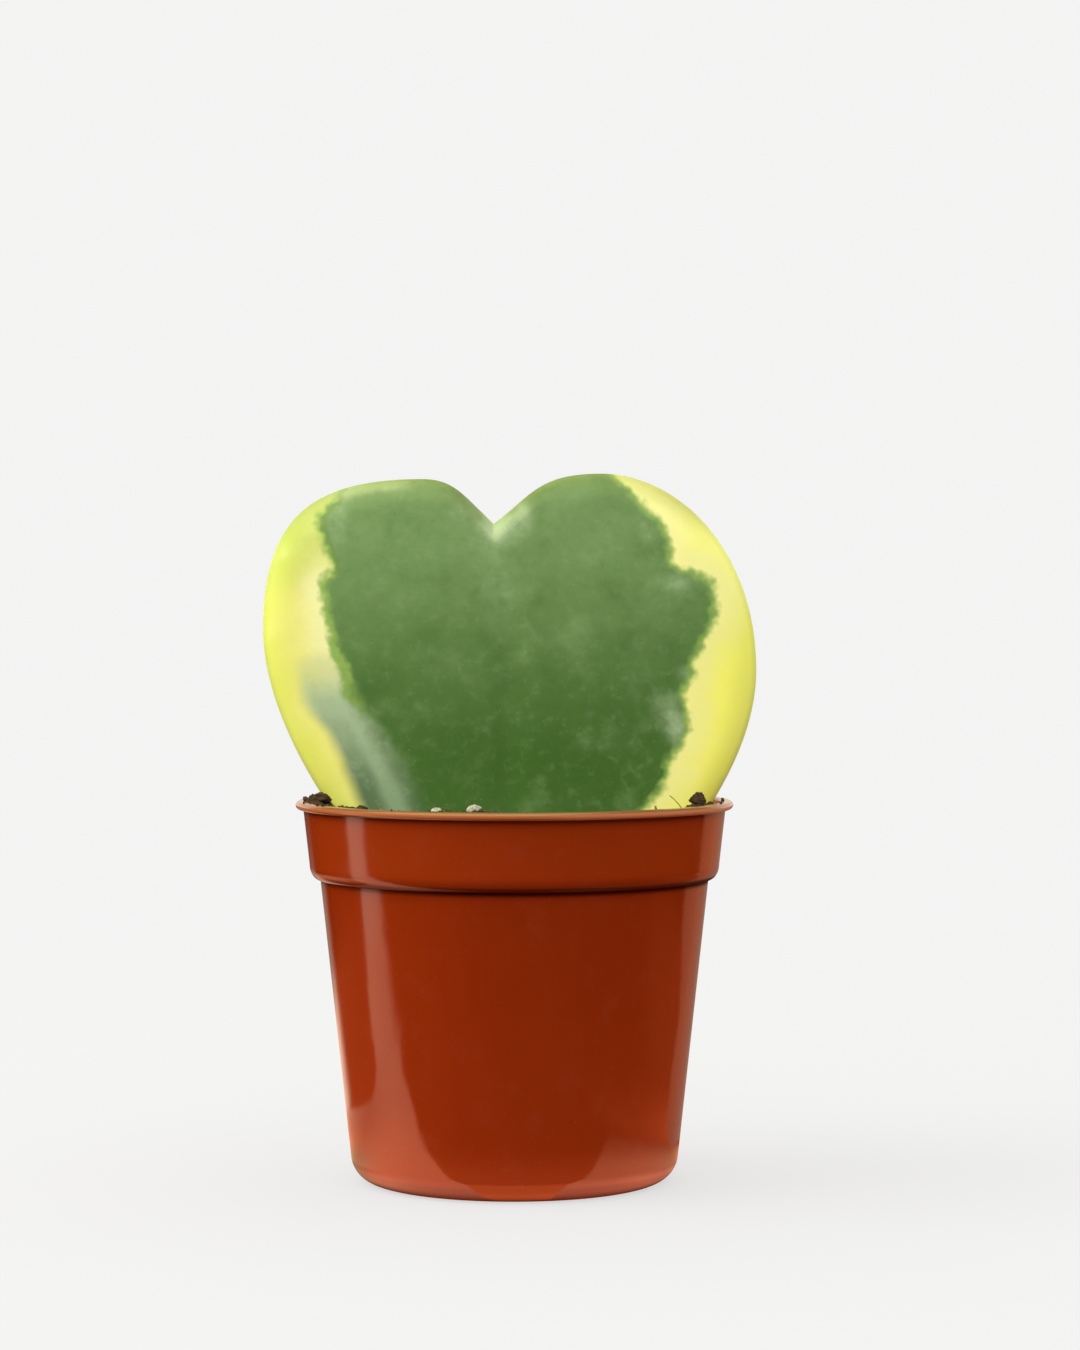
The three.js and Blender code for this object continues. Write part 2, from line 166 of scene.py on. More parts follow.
class Flow:
    """A value on its way through a finish. It wraps a socket, and plain arithmetic on it adds the
    Math nodes."""

    def __init__(self, finish, socket):
        self.finish = finish
        self.socket = socket

    def _maths(self, operation, first, second):
        return self.finish.node("ShaderNodeMath", {"operation": operation}, {0: first, 1: second})

    def __add__(self, other):
        return self._maths("ADD", self, other)

    def __radd__(self, other):
        return self._maths("ADD", other, self)

    def __sub__(self, other):
        return self._maths("SUBTRACT", self, other)

    def __rsub__(self, other):
        return self._maths("SUBTRACT", other, self)

    def __mul__(self, other):
        return self._maths("MULTIPLY", self, other)

    def __rmul__(self, other):
        return self._maths("MULTIPLY", other, self)

    def __truediv__(self, other):
        return self._maths("DIVIDE", self, other)

    def rise(self, start, end):
        """0 up to start, 1 from end on, and a smooth climb between them."""
        settings = {"interpolation_type": "SMOOTHSTEP"}
        values = {"Value": self, "From Min": start, "From Max": end}
        return self.finish.node("ShaderNodeMapRange", settings, values)

    def fall(self, start, end):
        """1 up to start, 0 from end on, and a smooth fall between them."""
        return 1 - self.rise(start, end)

    def band(self, start, full, fading, end):
        """0 up to start, 1 from full to fading, 0 from end on, and smooth between them."""
        return self.rise(start, full) * self.fall(fading, end)


class Finish:
    """A material, or the world, and the nodes that it is made of."""

    def __init__(self, name, owners=bpy.data.materials):
        self.owner = owners.new(name)
        self.owner.use_nodes = True
        self.tree = self.owner.node_tree
        self.tree.nodes.clear()
        self.place = self.node("ShaderNodeTexCoord", output="Object")

    def node(self, kind, settings=None, values=None, output=0):
        """Adds a node, makes its settings, then fills its sockets: a Flow is linked to the socket,
        and a number or colour is set on it."""
        node = self.tree.nodes.new(kind)
        for setting, value in (settings or {}).items():
            setattr(node, setting, value)
        for key, value in (values or {}).items():
            socket = node.inputs[key]
            if isinstance(value, Flow):
                self.tree.links.new(value.socket, socket)
            elif socket.type == "RGBA":
                socket.default_value = (*value, 1)
            else:
                socket.default_value = value
        return Flow(self, node.outputs[output]) if node.outputs else None

    def noise(self, size, detail=2, roughness=0.5, place=None):
        """Cloudy noise around 0.5, with features of that size in millimetres."""
        values = {
            "Vector": place or self.place,
            "Scale": 1 / (size * MM),
            "Detail": detail,
            "Roughness": roughness,
        }
        return self.node("ShaderNodeTexNoise", None, values)

    def places(self, axes):
        """The place on the piece along each of those axes, in millimetres."""
        parts = "ShaderNodeSeparateXYZ", None, {0: self.place}
        return [self.node(*parts, output=axis) * (1 / MM) for axis in axes]

    def stretched(self, x, y, z):
        """The place on the piece, with each axis stretched by its own factor."""
        return self.node("ShaderNodeMapping", None, {"Vector": self.place, "Scale": (x, y, z)})

    def mixed(self, share, first, second, blend="MIX"):
        """The colour first where share is 0 and second where it is 1."""
        settings = {"data_type": "RGBA", "blend_type": blend}
        return self.node("ShaderNodeMix", settings, {0: share, 6: first, 7: second}, output=2)

    def bump(self, height, depth, under=None):
        """A normal from a height from 0 to 1 that stands for that depth in millimetres."""
        values = {"Height": height, "Strength": 1, "Distance": depth * MM}
        if under:
            values["Normal"] = under
        return self.node("ShaderNodeBump", None, values)

    def close(self, shader):
        """Ends the finish with its shader, and gives the material."""
        self.node("ShaderNodeOutputMaterial", None, {"Surface": shader})
        return self.owner

    def surface(self, values):
        """Ends the finish with one Principled shader, and gives the material."""
        return self.close(self.node("ShaderNodeBsdfPrincipled", None, values))


plastic = Finish("terracotta_plastic")
flow_marks = plastic.noise(9, detail=3, place=plastic.stretched(1, 1, 0.35))
smudges = plastic.noise(3.5, detail=5, roughness=0.6).rise(0.5, 0.75)
dust = plastic.noise(0.35, detail=1).rise(0.7, 0.78)
pot_side, pot_height = plastic.places("XZ")
# Painted shade under the step: a dull dark film, weakest at the left where the lamp is
corner_shade = pot_height.band(*UNDER_STEP_SHADE_HEIGHTS) * (0.25 + 0.65 * pot_side.rise(-27, -3))
# Painted highlight: a pale line along the band's lower corner at the left, for a reflection
corner_highlight = pot_height.band(*CORNER_HIGHLIGHT_HEIGHTS) * pot_side.fall(-25, -18)
on_lip = pot_height.rise(*LIP_START)
plastic_colour = plastic.mixed(flow_marks, rgb(132, 38, 5), rgb(142, 44, 8))
# Painted light: the band above the step is coloured lighter than the body, as light falls on it
plastic_colour = plastic.mixed(pot_height.rise(42.5, 44) * 0.6, plastic_colour, rgb(150, 50, 11))
# The painted highlight along the band's lower corner
plastic_colour = plastic.mixed(corner_highlight * 0.3, plastic_colour, rgb(230, 150, 110))
# The lip: dust and painted highlight, lighter to the right, with painted shade on its top
lip_dust_and_highlight = plastic.mixed(pot_side.rise(0, 14) * 0.6, rgb(176, 104, 58), rgb(216, 134, 92))
lip_dust_and_highlight = plastic.mixed(pot_height.rise(51.7, 52.1), lip_dust_and_highlight, rgb(110, 78, 42))
plastic_colour = plastic.mixed(on_lip * (0.7 + 0.3 * flow_marks), plastic_colour, lip_dust_and_highlight)
plastic_colour = plastic.mixed(smudges * 0.08, plastic_colour, rgb(150, 72, 50))
plastic_colour = plastic.mixed(dust * 0.04, plastic_colour, rgb(200, 170, 150))
waviness = plastic.bump(plastic.noise(6, detail=1), 0.05)
gloss = plastic.node("ShaderNodeBsdfPrincipled", None, {
    "Base Color": plastic_colour,
    "Roughness": 0.11 + smudges * 0.07 + dust * 0.1 + on_lip * 0.06,
    "IOR": 1.49,
    "Normal": plastic.bump(plastic.noise(0.5, detail=2), 0.004, waviness),
})
# A dull dark film with some grime in it, for the painted shade under the step
grime_and_shade = plastic.node("ShaderNodeBsdfDiffuse", None, {"Color": rgb(84, 20, 5), "Roughness": 1})
plastic_finish = plastic.close(
    plastic.node("ShaderNodeMixShader", None, {0: corner_shade, 1: gloss, 2: grime_and_shade}))

lip_radius = LIP_HEIGHT / 2
inner_wall = pot_section(WALL, POT_HEIGHT - LIP_INNER_ROUND)[::-1]
inner_round = (inner_wall[0, 0] + LIP_INNER_ROUND, POT_HEIGHT - LIP_INNER_ROUND)
pot_profile = np.concatenate([
    pot_section(0, POT_HEIGHT - LIP_HEIGHT, GATE),
    arc((RIM_RADIUS - lip_radius, POT_HEIGHT - lip_radius), [lip_radius] * 2, -90, 90),
    arc(inner_round, [LIP_INNER_ROUND] * 2, 90, 180),
    inner_wall[1:],
])
nursery_pot = stand("nursery_pot", lathe("nursery_pot", pot_profile, POT_SIDES), plastic_finish)

cutters_mesh = bmesh.new()
for i in range(HOLE_COUNT):
    turn = (i + 0.5) * 2 * math.pi / HOLE_COUNT
    drill = bmesh.ops.create_cone(
        cutters_mesh, cap_ends=True, segments=HOLE_SIDES,
        radius1=HOLE_RADIUS * MM, radius2=HOLE_RADIUS * MM, depth=4 * WALL * MM)
    middle = (HOLE_CIRCLE * math.cos(turn), HOLE_CIRCLE * math.sin(turn), CHANNEL_DEPTH + WALL / 2)
    bmesh.ops.translate(cutters_mesh, verts=drill["verts"], vec=[part * MM for part in middle])
cutters_data = bpy.data.meshes.new("cutters")
cutters_mesh.to_mesh(cutters_data)
cutters_mesh.free()
cutters = stand("cutters", cutters_data, plastic_finish)
drilling = nursery_pot.modifiers.new("holes", "BOOLEAN")
drilling.object = cutters
drilling.solver = "EXACT"
drilled = bpy.data.meshes.new_from_object(
    nursery_pot.evaluated_get(bpy.context.evaluated_depsgraph_get()))
nursery_pot.modifiers.clear()
nursery_pot.data = drilled
bpy.data.objects.remove(cutters)
nursery_pot.data.shade_smooth()
nursery_pot.data.set_sharp_from_angle(angle=SHARP_ANGLE)
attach(nursery_pot, "root")
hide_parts("pot")


# Compost. Moist dark peat, pressed into the pot by the roots and by watering, crumbly on top and
# a little higher at both ends of the leaf. Each loose bit sits on a small mound of its own.
COMPOST_LEVEL = 49.5
COMPOST_RISE = (2.2, 1.0)
COMPOST_GAP = 0.02
DOME_COUNT = 110
DOME_RADIUS = (1.6, 3.2)
DOME_HEIGHT = (0.2, 1.2)
MOUND_RADIUS = 2.6
COMPOST_SIDES = 420
COMPOST_RINGS = 120
GRIT_SIZES = ((1.5, 0.55), (0.7, 0.35), (0.32, 0.18))
GRIT_SEED = 20
GOLDEN_ANGLE = math.pi * (3 - math.sqrt(5))

# Loose bits: x, y, height of the mound, half sizes and turn
PERLITE_GRAINS = (
    (-5.5, -5.0, 1.25, (1.0, 0.8, 0.65), 0.3),
    (-10.6, -5.6, 1.2, (0.7, 0.65, 0.5), 1.3),
    (5.6, -17.5, 0.8, (1.3, 1.0, 0.8), 2.2),
    (11.0, 12.5, 1.0, (1.4, 1.1, 0.9), 0.9),
    (-13.5, 15.0, 0.9, (1.2, 1.2, 0.8), 2.9),
)
BARK_CHIPS = (
    (-26.3, -4.7, 0.9, (1.3, 1.2, 0.9), 0.5),
    (25.0, -7.4, 1.9, (1.3, 1.2, 1.1), 2.7),
    (-8.5, -19.0, 0.8, (2.3, 1.3, 0.8), 0.7),
    (6.0, 20.0, 0.9, (2.5, 1.4, 0.9), 2.0),
)


def draw(index, trait):
    """A repeatable number from 0 to 1: the part after the point of sin(12.9898 index + 78.233
    trait) x 43758.5453."""
    value = np.sin(np.asarray(index) * 12.9898 + trait * 78.233) * 43758.5453
    return value - np.floor(value)


def between(limits, share):
    """The number that lies that share of the way from the first limit to the second."""
    return limits[0] + (limits[1] - limits[0]) * share


def cloud(points, size, seed):
    """Smooth noise from 0 to 1 in space: numbers drawn at the corners of cubes of that size, and
    blended inside each cube by 3t^2 - 2t^3 along each axis."""
    scaled = points / size
    cell = np.floor(scaled)
    ease = (scaled - cell) ** 2 * (3 - 2 * (scaled - cell))
    total = np.zeros(points.shape[:-1])
    for corner in np.ndindex(2, 2, 2):
        at = cell + corner
        key = at[..., 0] * 1.7 + at[..., 1] * 31.3 + at[..., 2] * 57.9
        weight = np.prod(np.where(corner, ease, 1 - ease), axis=-1)
        total += weight * draw(key, seed)
    return total


dome_index = np.arange(DOME_COUNT)
dome_distance = (BAND_FOOT_RADIUS - 1) * np.sqrt((dome_index + 0.5) / DOME_COUNT)
dome_angle = dome_index * GOLDEN_ANGLE + draw(dome_index, 1)
dome_rows = np.stack([
    dome_distance * np.cos(dome_angle),
    dome_distance * np.sin(dome_angle),
    between(DOME_RADIUS, draw(dome_index, 2)),
    between(DOME_HEIGHT, draw(dome_index, 3)),
], 1)
mound_rows = [(x, y, MOUND_RADIUS, mound) for x, y, mound, _, _ in PERLITE_GRAINS + BARK_CHIPS]
domes = np.concatenate([dome_rows, mound_rows])


def compost_height(x, y):
    """Height of the smooth compost: its level, a climb with the fourth power of x, and the
    highest of the domes, each height x sqrt(1 - distance^2 / radius^2)."""
    rise = np.where(x < 0, COMPOST_RISE[0], COMPOST_RISE[1])
    crumb = np.zeros(x.shape)
    for dome_x, dome_y, radius, height in domes:
        away = ((x - dome_x) ** 2 + (y - dome_y) ** 2) / radius ** 2
        crumb = np.maximum(crumb, height * np.sqrt(np.clip(1 - away, 0, 1)))
    return COMPOST_LEVEL + rise * (x / BAND_FOOT_RADIUS) ** 4 + crumb


def grit(points):
    """Crumbly relief in millimetres: the ridges |2 noise - 1| of three sizes, added up."""
    total = np.zeros(points.shape[:-1])
    for seed, (size, height) in enumerate(GRIT_SIZES):
        total += height * (0.5 - np.abs(2 * cloud(points, size, GRIT_SEED + seed) - 1))
    return total


peat = Finish("peat_compost")
tone = peat.node("ShaderNodeAttribute", {"attribute_name": "tone"}, output="Fac")
clods = peat.noise(1.6, detail=6, roughness=0.7)
specks = peat.noise(0.5, detail=3, roughness=0.6)
peat_colour = peat.mixed(clods.rise(0.3, 0.7), rgb(24, 15, 8), rgb(58, 38, 20))
peat_colour = peat.mixed(specks.rise(0.58, 0.72), peat_colour, rgb(104, 74, 42))
peat_colour = peat.mixed((1 - specks).rise(0.6, 0.72), peat_colour, rgb(14, 9, 6))
peat_colour = peat.mixed(tone, peat_colour, rgb(92, 62, 33))
peat_grain = peat.bump(peat.noise(0.25, detail=6, roughness=0.75), 0.12)
peat_finish = peat.surface({
    "Base Color": peat_colour,
    "Roughness": 0.95 - specks * 0.25,
    "IOR": 1.4,
    "Normal": peat.bump(clods, 0.25, peat_grain),
})

plug_edge = pot_section(WALL + COMPOST_GAP, COMPOST_LEVEL)
plug_reach = plug_edge[-1, 0]
shrink = np.linspace(1, 0, COMPOST_RINGS, endpoint=False)
plug_top = np.stack([plug_reach * shrink, np.full(COMPOST_RINGS, COMPOST_LEVEL)], 1)
plug_profile = np.concatenate([plug_edge[:-1], plug_top])[1:]
plug_angle = np.arange(COMPOST_SIDES) * 2 * math.pi / COMPOST_SIDES
plug = np.stack([
    plug_profile[:, :1] * np.cos(plug_angle),
    plug_profile[:, :1] * np.sin(plug_angle),
    plug_profile[:, 1:] + 0 * plug_angle,
], -1)
on_top = plug[-COMPOST_RINGS:]
on_top[..., 2] = compost_height(on_top[..., 0], on_top[..., 1])
on_top[..., 2] += grit(on_top)
plug_centre = np.array([[0.0, 0.0, 0.0]])
plug_centre[:, 2] = compost_height(plug_centre[:, 0], plug_centre[:, 1])
plug_mesh = closed_skin("potting_compost", plug, (0, 0, WALL + COMPOST_GAP), plug_centre[0])
potting_compost = stand("potting_compost", plug_mesh, peat_finish)
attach(potting_compost, "root")
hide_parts("compost")


# Leaf. One thick, waxy, heart-shaped blade on a short stalk with a few young roots. It grew as one
# piece. Its middle is green right up to the notch, its sides are cream and lime, and a grey-green
# sector runs down the left.
NOTCH = (-2.9, 90.2)
LEFT_LOBE = (-12.85, 96.4)
LEFT_SIDE = (-34.8, 75.8)
BASE_TIP = (-0.3, 27.2)
RIGHT_SIDE = (33.4, 70.05)
RIGHT_LOBE = (12, 97.15)
NOTCH_LEFT_HANDLE = (-4.35, 4.15)
NOTCH_RIGHT_HANDLE = (5.4, 4.05)
TIP_LEFT_HANDLE = (-20.6, 12.9)
TIP_RIGHT_HANDLE = (20.7, 11.1)
LEFT_LOBE_REACH = (4.4, 15.2)
RIGHT_LOBE_REACH = (8.7, 10.3)
LEFT_SIDE_REACH = (15.4, 14.3)
RIGHT_SIDE_REACH = (16.9, 13.7)
LEAF_THICKNESS = 4.2
LEAF_HEART = np.array([-0.8, 65.7])
LEAF_LEAN = 0.05
SIDE_CURL = 2.2
TOP_CURL = 1.6
CURL_START = 71.7
LEAF_HALF_WIDTH = 33.8
MIDRIB_DEPTH = 0.35
MIDRIB_WIDTH = 2.2
MARGIN_START = 0.88
MARGIN_POWER = 2.2
LEAF_SIDES = 480
FACE_RINGS = 62
MARGIN_RINGS = 16
CURVE_STEPS = 400
EDGE_STEPS = 8
PILLOW_SIZES = ((9, 0.16), (3.5, 0.06))
PILLOW_SEED = 40
FACE_SPACING = 40

# The green of the middle, as (x, z) once round: down its left edge and up its right edge
GREEN_EDGE = (
    (-23.9, 101), (-23.9, 95.1), (-26.0, 92.4), (-26.9, 91.1), (-26.0, 87.5), (-24.7, 84.1),
    (-26.3, 81.9), (-26.2, 79.4), (-25.4, 76.7), (-25.1, 74.2), (-23.2, 70.1), (-22.0, 66.0),
    (-19.3, 62.3), (-17.3, 59.3), (-15.5, 56.5), (-14.0, 53.8), (-12.8, 51.1), (-7, 38), (-3, 24),
    (3, 24), (9, 38), (17.9, 51.2), (18.9, 52.3), (21.2, 55.6), (20.9, 56.9), (21.5, 58.2),
    (23.6, 61.3), (23.6, 64.2), (23.3, 67.3), (24.4, 69.4), (24.5, 71.0), (25.8, 73.8),
    (27.5, 76.9), (27.5, 79.3), (27.1, 82.0), (25.3, 83.5), (22.2, 84.4), (21.5, 86.3),
    (20.7, 89.5), (19.3, 91.4), (17.6, 92.9), (15.9, 94.8), (13.8, 97.0), (11.3, 101),
)
# The grey-green sector, once round from its top
GREY_EDGE = (
    (-29.5, 71.0), (-29.2, 68.0), (-28.2, 65.6), (-25.9, 62.0), (-24.7, 60.0), (-23.7, 57.7),
    (-22.0, 53.1), (-20.9, 50.6), (-13, 36), (-4, 24), (-5, 36), (-11, 51.1), (-13.5, 56.5),
    (-17.3, 62.3), (-20.5, 67.0), (-23.8, 70.6), (-26.6, 71.9),
)
# Pale places in the green, some of them painted highlights, as beside the notch and on the upper
# left lobe: x, z, half width, half height and strength
PALE_SPOTS = (
    (-2.6, 89.8, 1.9, 2.2, 0.8), (0.9, 91.6, 2.0, 2.8, 0.6), (-24.6, 90.2, 2.4, 4.6, 0.4),
    (20.6, 64.9, 3.0, 3.2, 0.42), (-16.5, 95.4, 6.0, 1.2, 0.5),
    (-2.0, 81.0, 5.0, 9.0, 0.28), (20.0, 79.0, 4.0, 5.0, 0.25), (23.0, 82.4, 3.4, 1.8, 0.35),
    (18.3, 89.5, 2.2, 3.6, 0.35), (-24.0, 95.0, 3.4, 1.6, 0.6), (-6.5, 92.5, 3.2, 2.6, 0.3),
    (22.4, 61.6, 1.8, 2.8, 0.55), (23.4, 69.8, 1.5, 1.5, 0.4), (-6.0, 88.0, 6.0, 5.0, 0.12),
)

STALK_RADIUS = 2.1
STALK_PLACES = (33, 30, 26, 22.5, 19)
STALK_BEND = 0.8
STALK_SIDES = 40
ROOT_COUNT = 5
ROOT_RADIUS = (0.7, 0.35)
ROOT_REACH = 13
ROOT_DROP = 9
ROOT_START = 1.5
ROOT_TURN_SPREAD = 0.6
ROOT_REACH_SPREAD = (0.75, 1)
ROOT_DROP_SPREAD = (0.7, 1)
ROOT_BEND = ((0, 0), (0.35, 0.1), (0.7, 0.45), (1, 1))
ROOT_SIDES = 14
ROD_STEPS = 10


def curve(start, first, second, end, count):
    """A cubic Bezier: (1-t)^3 start + 3(1-t)^2 t first + 3(1-t) t^2 second + t^3 end."""
    t = np.linspace(0, 1, count, endpoint=False)[:, None]
    start, first, second, end = map(np.array, (start, first, second, end))
    middle = 3 * (1 - t) ** 2 * t * first + 3 * (1 - t) * t ** 2 * second
    return (1 - t) ** 3 * start + middle + t ** 3 * end


def along(points, distances):
    """Places at those shares of the way along a chain of points."""
    steps = np.linalg.norm(np.diff(points, axis=0), axis=1)
    way = np.concatenate([[0], np.cumsum(steps)]) / np.sum(steps)
    return np.stack([np.interp(distances, way, axis) for axis in points.T], 1)


def leaf_outline(count):
    """The margin, once round from the notch: six Bezier curves between the notch, the lobes, the
    widest places and the tip, with places at even steps along it."""
    notch, tip = np.array(NOTCH), np.array(BASE_TIP)
    left, right = np.array(LEFT_LOBE), np.array(RIGHT_LOBE)
    left_side, right_side = np.array(LEFT_SIDE), np.array(RIGHT_SIDE)
    pieces = [
        (notch, notch + NOTCH_LEFT_HANDLE, left + (LEFT_LOBE_REACH[0], 0), left),
        (left, left - (LEFT_LOBE_REACH[1], 0), left_side + (0, LEFT_SIDE_REACH[0]), left_side),
        (left_side, left_side - (0, LEFT_SIDE_REACH[1]), tip + TIP_LEFT_HANDLE, tip),
        (tip, tip + TIP_RIGHT_HANDLE, right_side - (0, RIGHT_SIDE_REACH[1]), right_side),
        (right_side, right_side + (0, RIGHT_SIDE_REACH[0]),
         right + (RIGHT_LOBE_REACH[1], 0), right),
        (right, right - (RIGHT_LOBE_REACH[0], 0), notch + NOTCH_RIGHT_HANDLE, notch),
    ]
    chain = np.concatenate([*[curve(*piece, CURVE_STEPS) for piece in pieces], [notch]])
    return along(chain, np.arange(count) / count)


def blade_depth(x, z):
    """How far back the middle of the blade lies: it leans back with height, its sides turn back
    with |x|^2.5 and its top with the square of the height above CURL_START."""
    side = np.abs(x - LEAF_HEART[0]) / LEAF_HALF_WIDTH
    top = np.maximum(0, z - CURL_START) / (RIGHT_LOBE[1] - CURL_START)
    return LEAF_LEAN * (z - COMPOST_LEVEL) + SIDE_CURL * side ** 2.5 + TOP_CURL * top ** 2


def smooth_path(points, steps, closed=False):
    """A Catmull-Rom curve through the points: between two of them, the cubic that leaves each in
    the direction of its two neighbours, at that many steps."""
    first, last = (points[-1], points[:2]) if closed else (points[0], points[-1:])
    held = np.array([first, *points, *last], float)
    before, here, after, later = held[:-3], held[1:-2], held[2:-1], held[3:]
    t = np.linspace(0, 1, steps, endpoint=False)[:, None, None]
    slope, next_slope = (after - before) / 2, (later - here) / 2
    bend = 3 * (after - here) - 2 * slope - next_slope
    turn = 2 * (here - after) + slope + next_slope
    fine = here + slope * t + bend * t ** 2 + turn * t ** 3
    return np.concatenate([fine.transpose(1, 0, 2).reshape(-1, held.shape[1]), [held[-2]]])


def distance_to(chain, x, z):
    """Distance from each place (x, z) to the nearest part of a chain of points."""
    places = np.stack([x.ravel(), z.ravel()], 1)
    start, step = chain[:-1], np.diff(chain, axis=0)
    best = np.full(len(places), np.inf)
    for at, way in zip(start, step):
        share = np.clip((places - at) @ way / (way @ way), 0, 1)
        gap = places - at - share[:, None] * way
        best = np.minimum(best, np.einsum("ij,ij->i", gap, gap))
    return np.sqrt(best).reshape(x.shape)


def depth_inside(points, x, z):
    """Distance of each place to a smooth closed edge through the points, negative outside it. A
    place is inside where a line from it along +X crosses the edge an odd number of times."""
    edge = smooth_path(points, EDGE_STEPS, closed=True)
    crossed = np.zeros(x.shape, bool)
    for (x0, z0), (x1, z1) in zip(edge[:-1], edge[1:]):
        if z0 != z1:
            spanned = (z0 > z) != (z1 > z)
            crossed ^= spanned & (x < x0 + (z - z0) * (x1 - x0) / (z1 - z0))
    return np.where(crossed, 1, -1) * distance_to(edge, x, z)


def carry(mesh, name, values):
    """Gives each point of a mesh a number of that name, for its finish to read."""
    layer = mesh.attributes.new(name, "FLOAT", "POINT")
    layer.data.foreach_set("value", np.asarray(values, np.float32).ravel())


def tube(points, radii, sides):
    """Rings round a path: at each point a circle of that radius, square to the path's direction,
    spanned by the direction's cross product with a fixed guide and by the cross of the two."""
    way = np.gradient(points, axis=0)
    way /= np.linalg.norm(way, axis=1, keepdims=True)
    guide = np.where(np.abs(np.mean(way[:, 2])) < 0.8, [0.0, 0.0, 1.0], [1.0, 0.0, 0.0])
    across = np.cross(way, guide)
    across /= np.linalg.norm(across, axis=1, keepdims=True)
    over = np.cross(way, across)
    angle = np.arange(sides)[:, None] * 2 * math.pi / sides
    spread = across[:, None] * np.cos(angle) + over[:, None] * np.sin(angle)
    return points[:, None] + np.reshape(radii, (-1, 1, 1)) * spread


def joined(name, meshes):
    """One mesh from several, which are used up."""
    whole = bmesh.new()
    for mesh in meshes:
        whole.from_mesh(mesh)
        bpy.data.meshes.remove(mesh)
    result = bpy.data.meshes.new(name)
    whole.to_mesh(result)
    whole.free()
    return result


wax = Finish("waxy_leaf")


def leaf_value(name):
    """The number of that name that the leaf's points carry."""
    return wax.node("ShaderNodeAttribute", {"attribute_name": name}, output="Fac")


patches = wax.noise(6, detail=5, roughness=0.55)
mottle = wax.noise(1.6, detail=4, roughness=0.6)
grain = wax.noise(0.6, detail=2)
haze = wax.noise(9, detail=2)
teeth = (wax.noise(1.3, detail=1) - 0.5) * 1.5 + (wax.noise(4, detail=1) - 0.5) * 1.0
green_in = leaf_value("green_depth") + teeth
grey_in = leaf_value("grey_depth") + (haze - 0.5) * 3
from_margin = leaf_value("margin_depth")
pale = leaf_value("pale") * (0.5 + mottle)
aside, height = wax.places("XZ")

# The cream of the sides: lime towards the margin and whiter beside the green, with painted light
# that makes it lighter at the right and painted shade that darkens it at the upper left and foot
rightward = aside.rise(-24, 24)
near_margin = (from_margin + (haze - 0.5) * 5).fall(0.5, 5.5)
# Painted light: the cream is lighter at the right, with less lime at its margin, where less light
# falls
lit_right_cream = wax.mixed(height.rise(70, 90), rgb(250, 245, 106), rgb(250, 246, 136))
cream = wax.mixed(rightward, rgb(234, 228, 122), lit_right_cream)
cream = wax.mixed(near_margin * (1 - rightward * 0.6), cream, rgb(222, 226, 96))
# Painted shade: darker, greener cream at the upper left, where the lamp falls strongest
cream = wax.mixed(height.rise(77, 90) * aside.fall(-30, -14), cream, rgb(184, 198, 74))
beside_green = (green_in + (haze - 0.5) * 5).rise(-5.5, -0.5) * (0.85 - 0.35 * rightward)
# Painted shade: less white beside the green at the upper left
beside_green = beside_green * (1 - height.rise(81, 88) * (1 - rightward) * 0.8)
cream = wax.mixed(beside_green, cream, rgb(240, 238, 172))
# Painted shade: the cream darker towards the foot of the leaf
cream = wax.mixed(height.fall(50, 58) * 0.1, cream, rgb(208, 204, 98))
cream = wax.mixed(patches.rise(0.45, 0.75) * 0.3, cream, rgb(238, 236, 146))

# The green of the middle: deep at the foot and lighter towards the top, partly its own colour and
# partly painted sheen of the light from above; mottled, with its pale places
# Partly painted sheen: the green lightens towards the top
climb = (height + (patches - 0.5) * 10).rise(54, 90)
green = wax.mixed(climb, rgb(57, 99, 28), rgb(105, 140, 77))
deep_edge = green_in.band(0.2, 0.9, 1.6, 4) * rightward
green = wax.mixed(deep_edge * 0.25, green, rgb(72, 118, 42))
green = wax.mixed(patches.rise(0.5, 0.8) * 0.4, green, rgb(128, 160, 100))
green = wax.mixed((1 - patches).rise(0.5, 0.8) * 0.4, green, rgb(60, 100, 36))
green = wax.mixed(mottle.rise(0.5, 0.8) * 0.22, green, rgb(138, 168, 118))
green = wax.mixed((1 - mottle).rise(0.5, 0.8) * 0.22, green, rgb(58, 94, 36))
# Pale places: pale tissue, with painted highlights beside the notch and on the upper left lobe
green = wax.mixed(pale.rise(0.1, 1.0), green, rgb(170, 192, 144))
green = wax.mixed(grain.rise(0.68, 0.78) * 0.16, green, rgb(160, 186, 134))

# The grey-green sector, with one paler streak along it that is partly painted sheen
grey = wax.mixed((height + (haze - 0.5) * 6).rise(50, 72), rgb(84, 111, 71), rgb(178, 198, 154))
# Partly painted sheen: the paler streak
streak = grey_in.band(2.2, 4.2, 4.4, 6.6)
grey = wax.mixed(streak * 0.45, grey, rgb(168, 194, 150))
grey = wax.mixed(mottle.rise(0.5, 0.8) * 0.25, grey, rgb(172, 194, 158))
grey = wax.mixed((1 - mottle).rise(0.5, 0.8) * 0.25, grey, rgb(96, 128, 92))

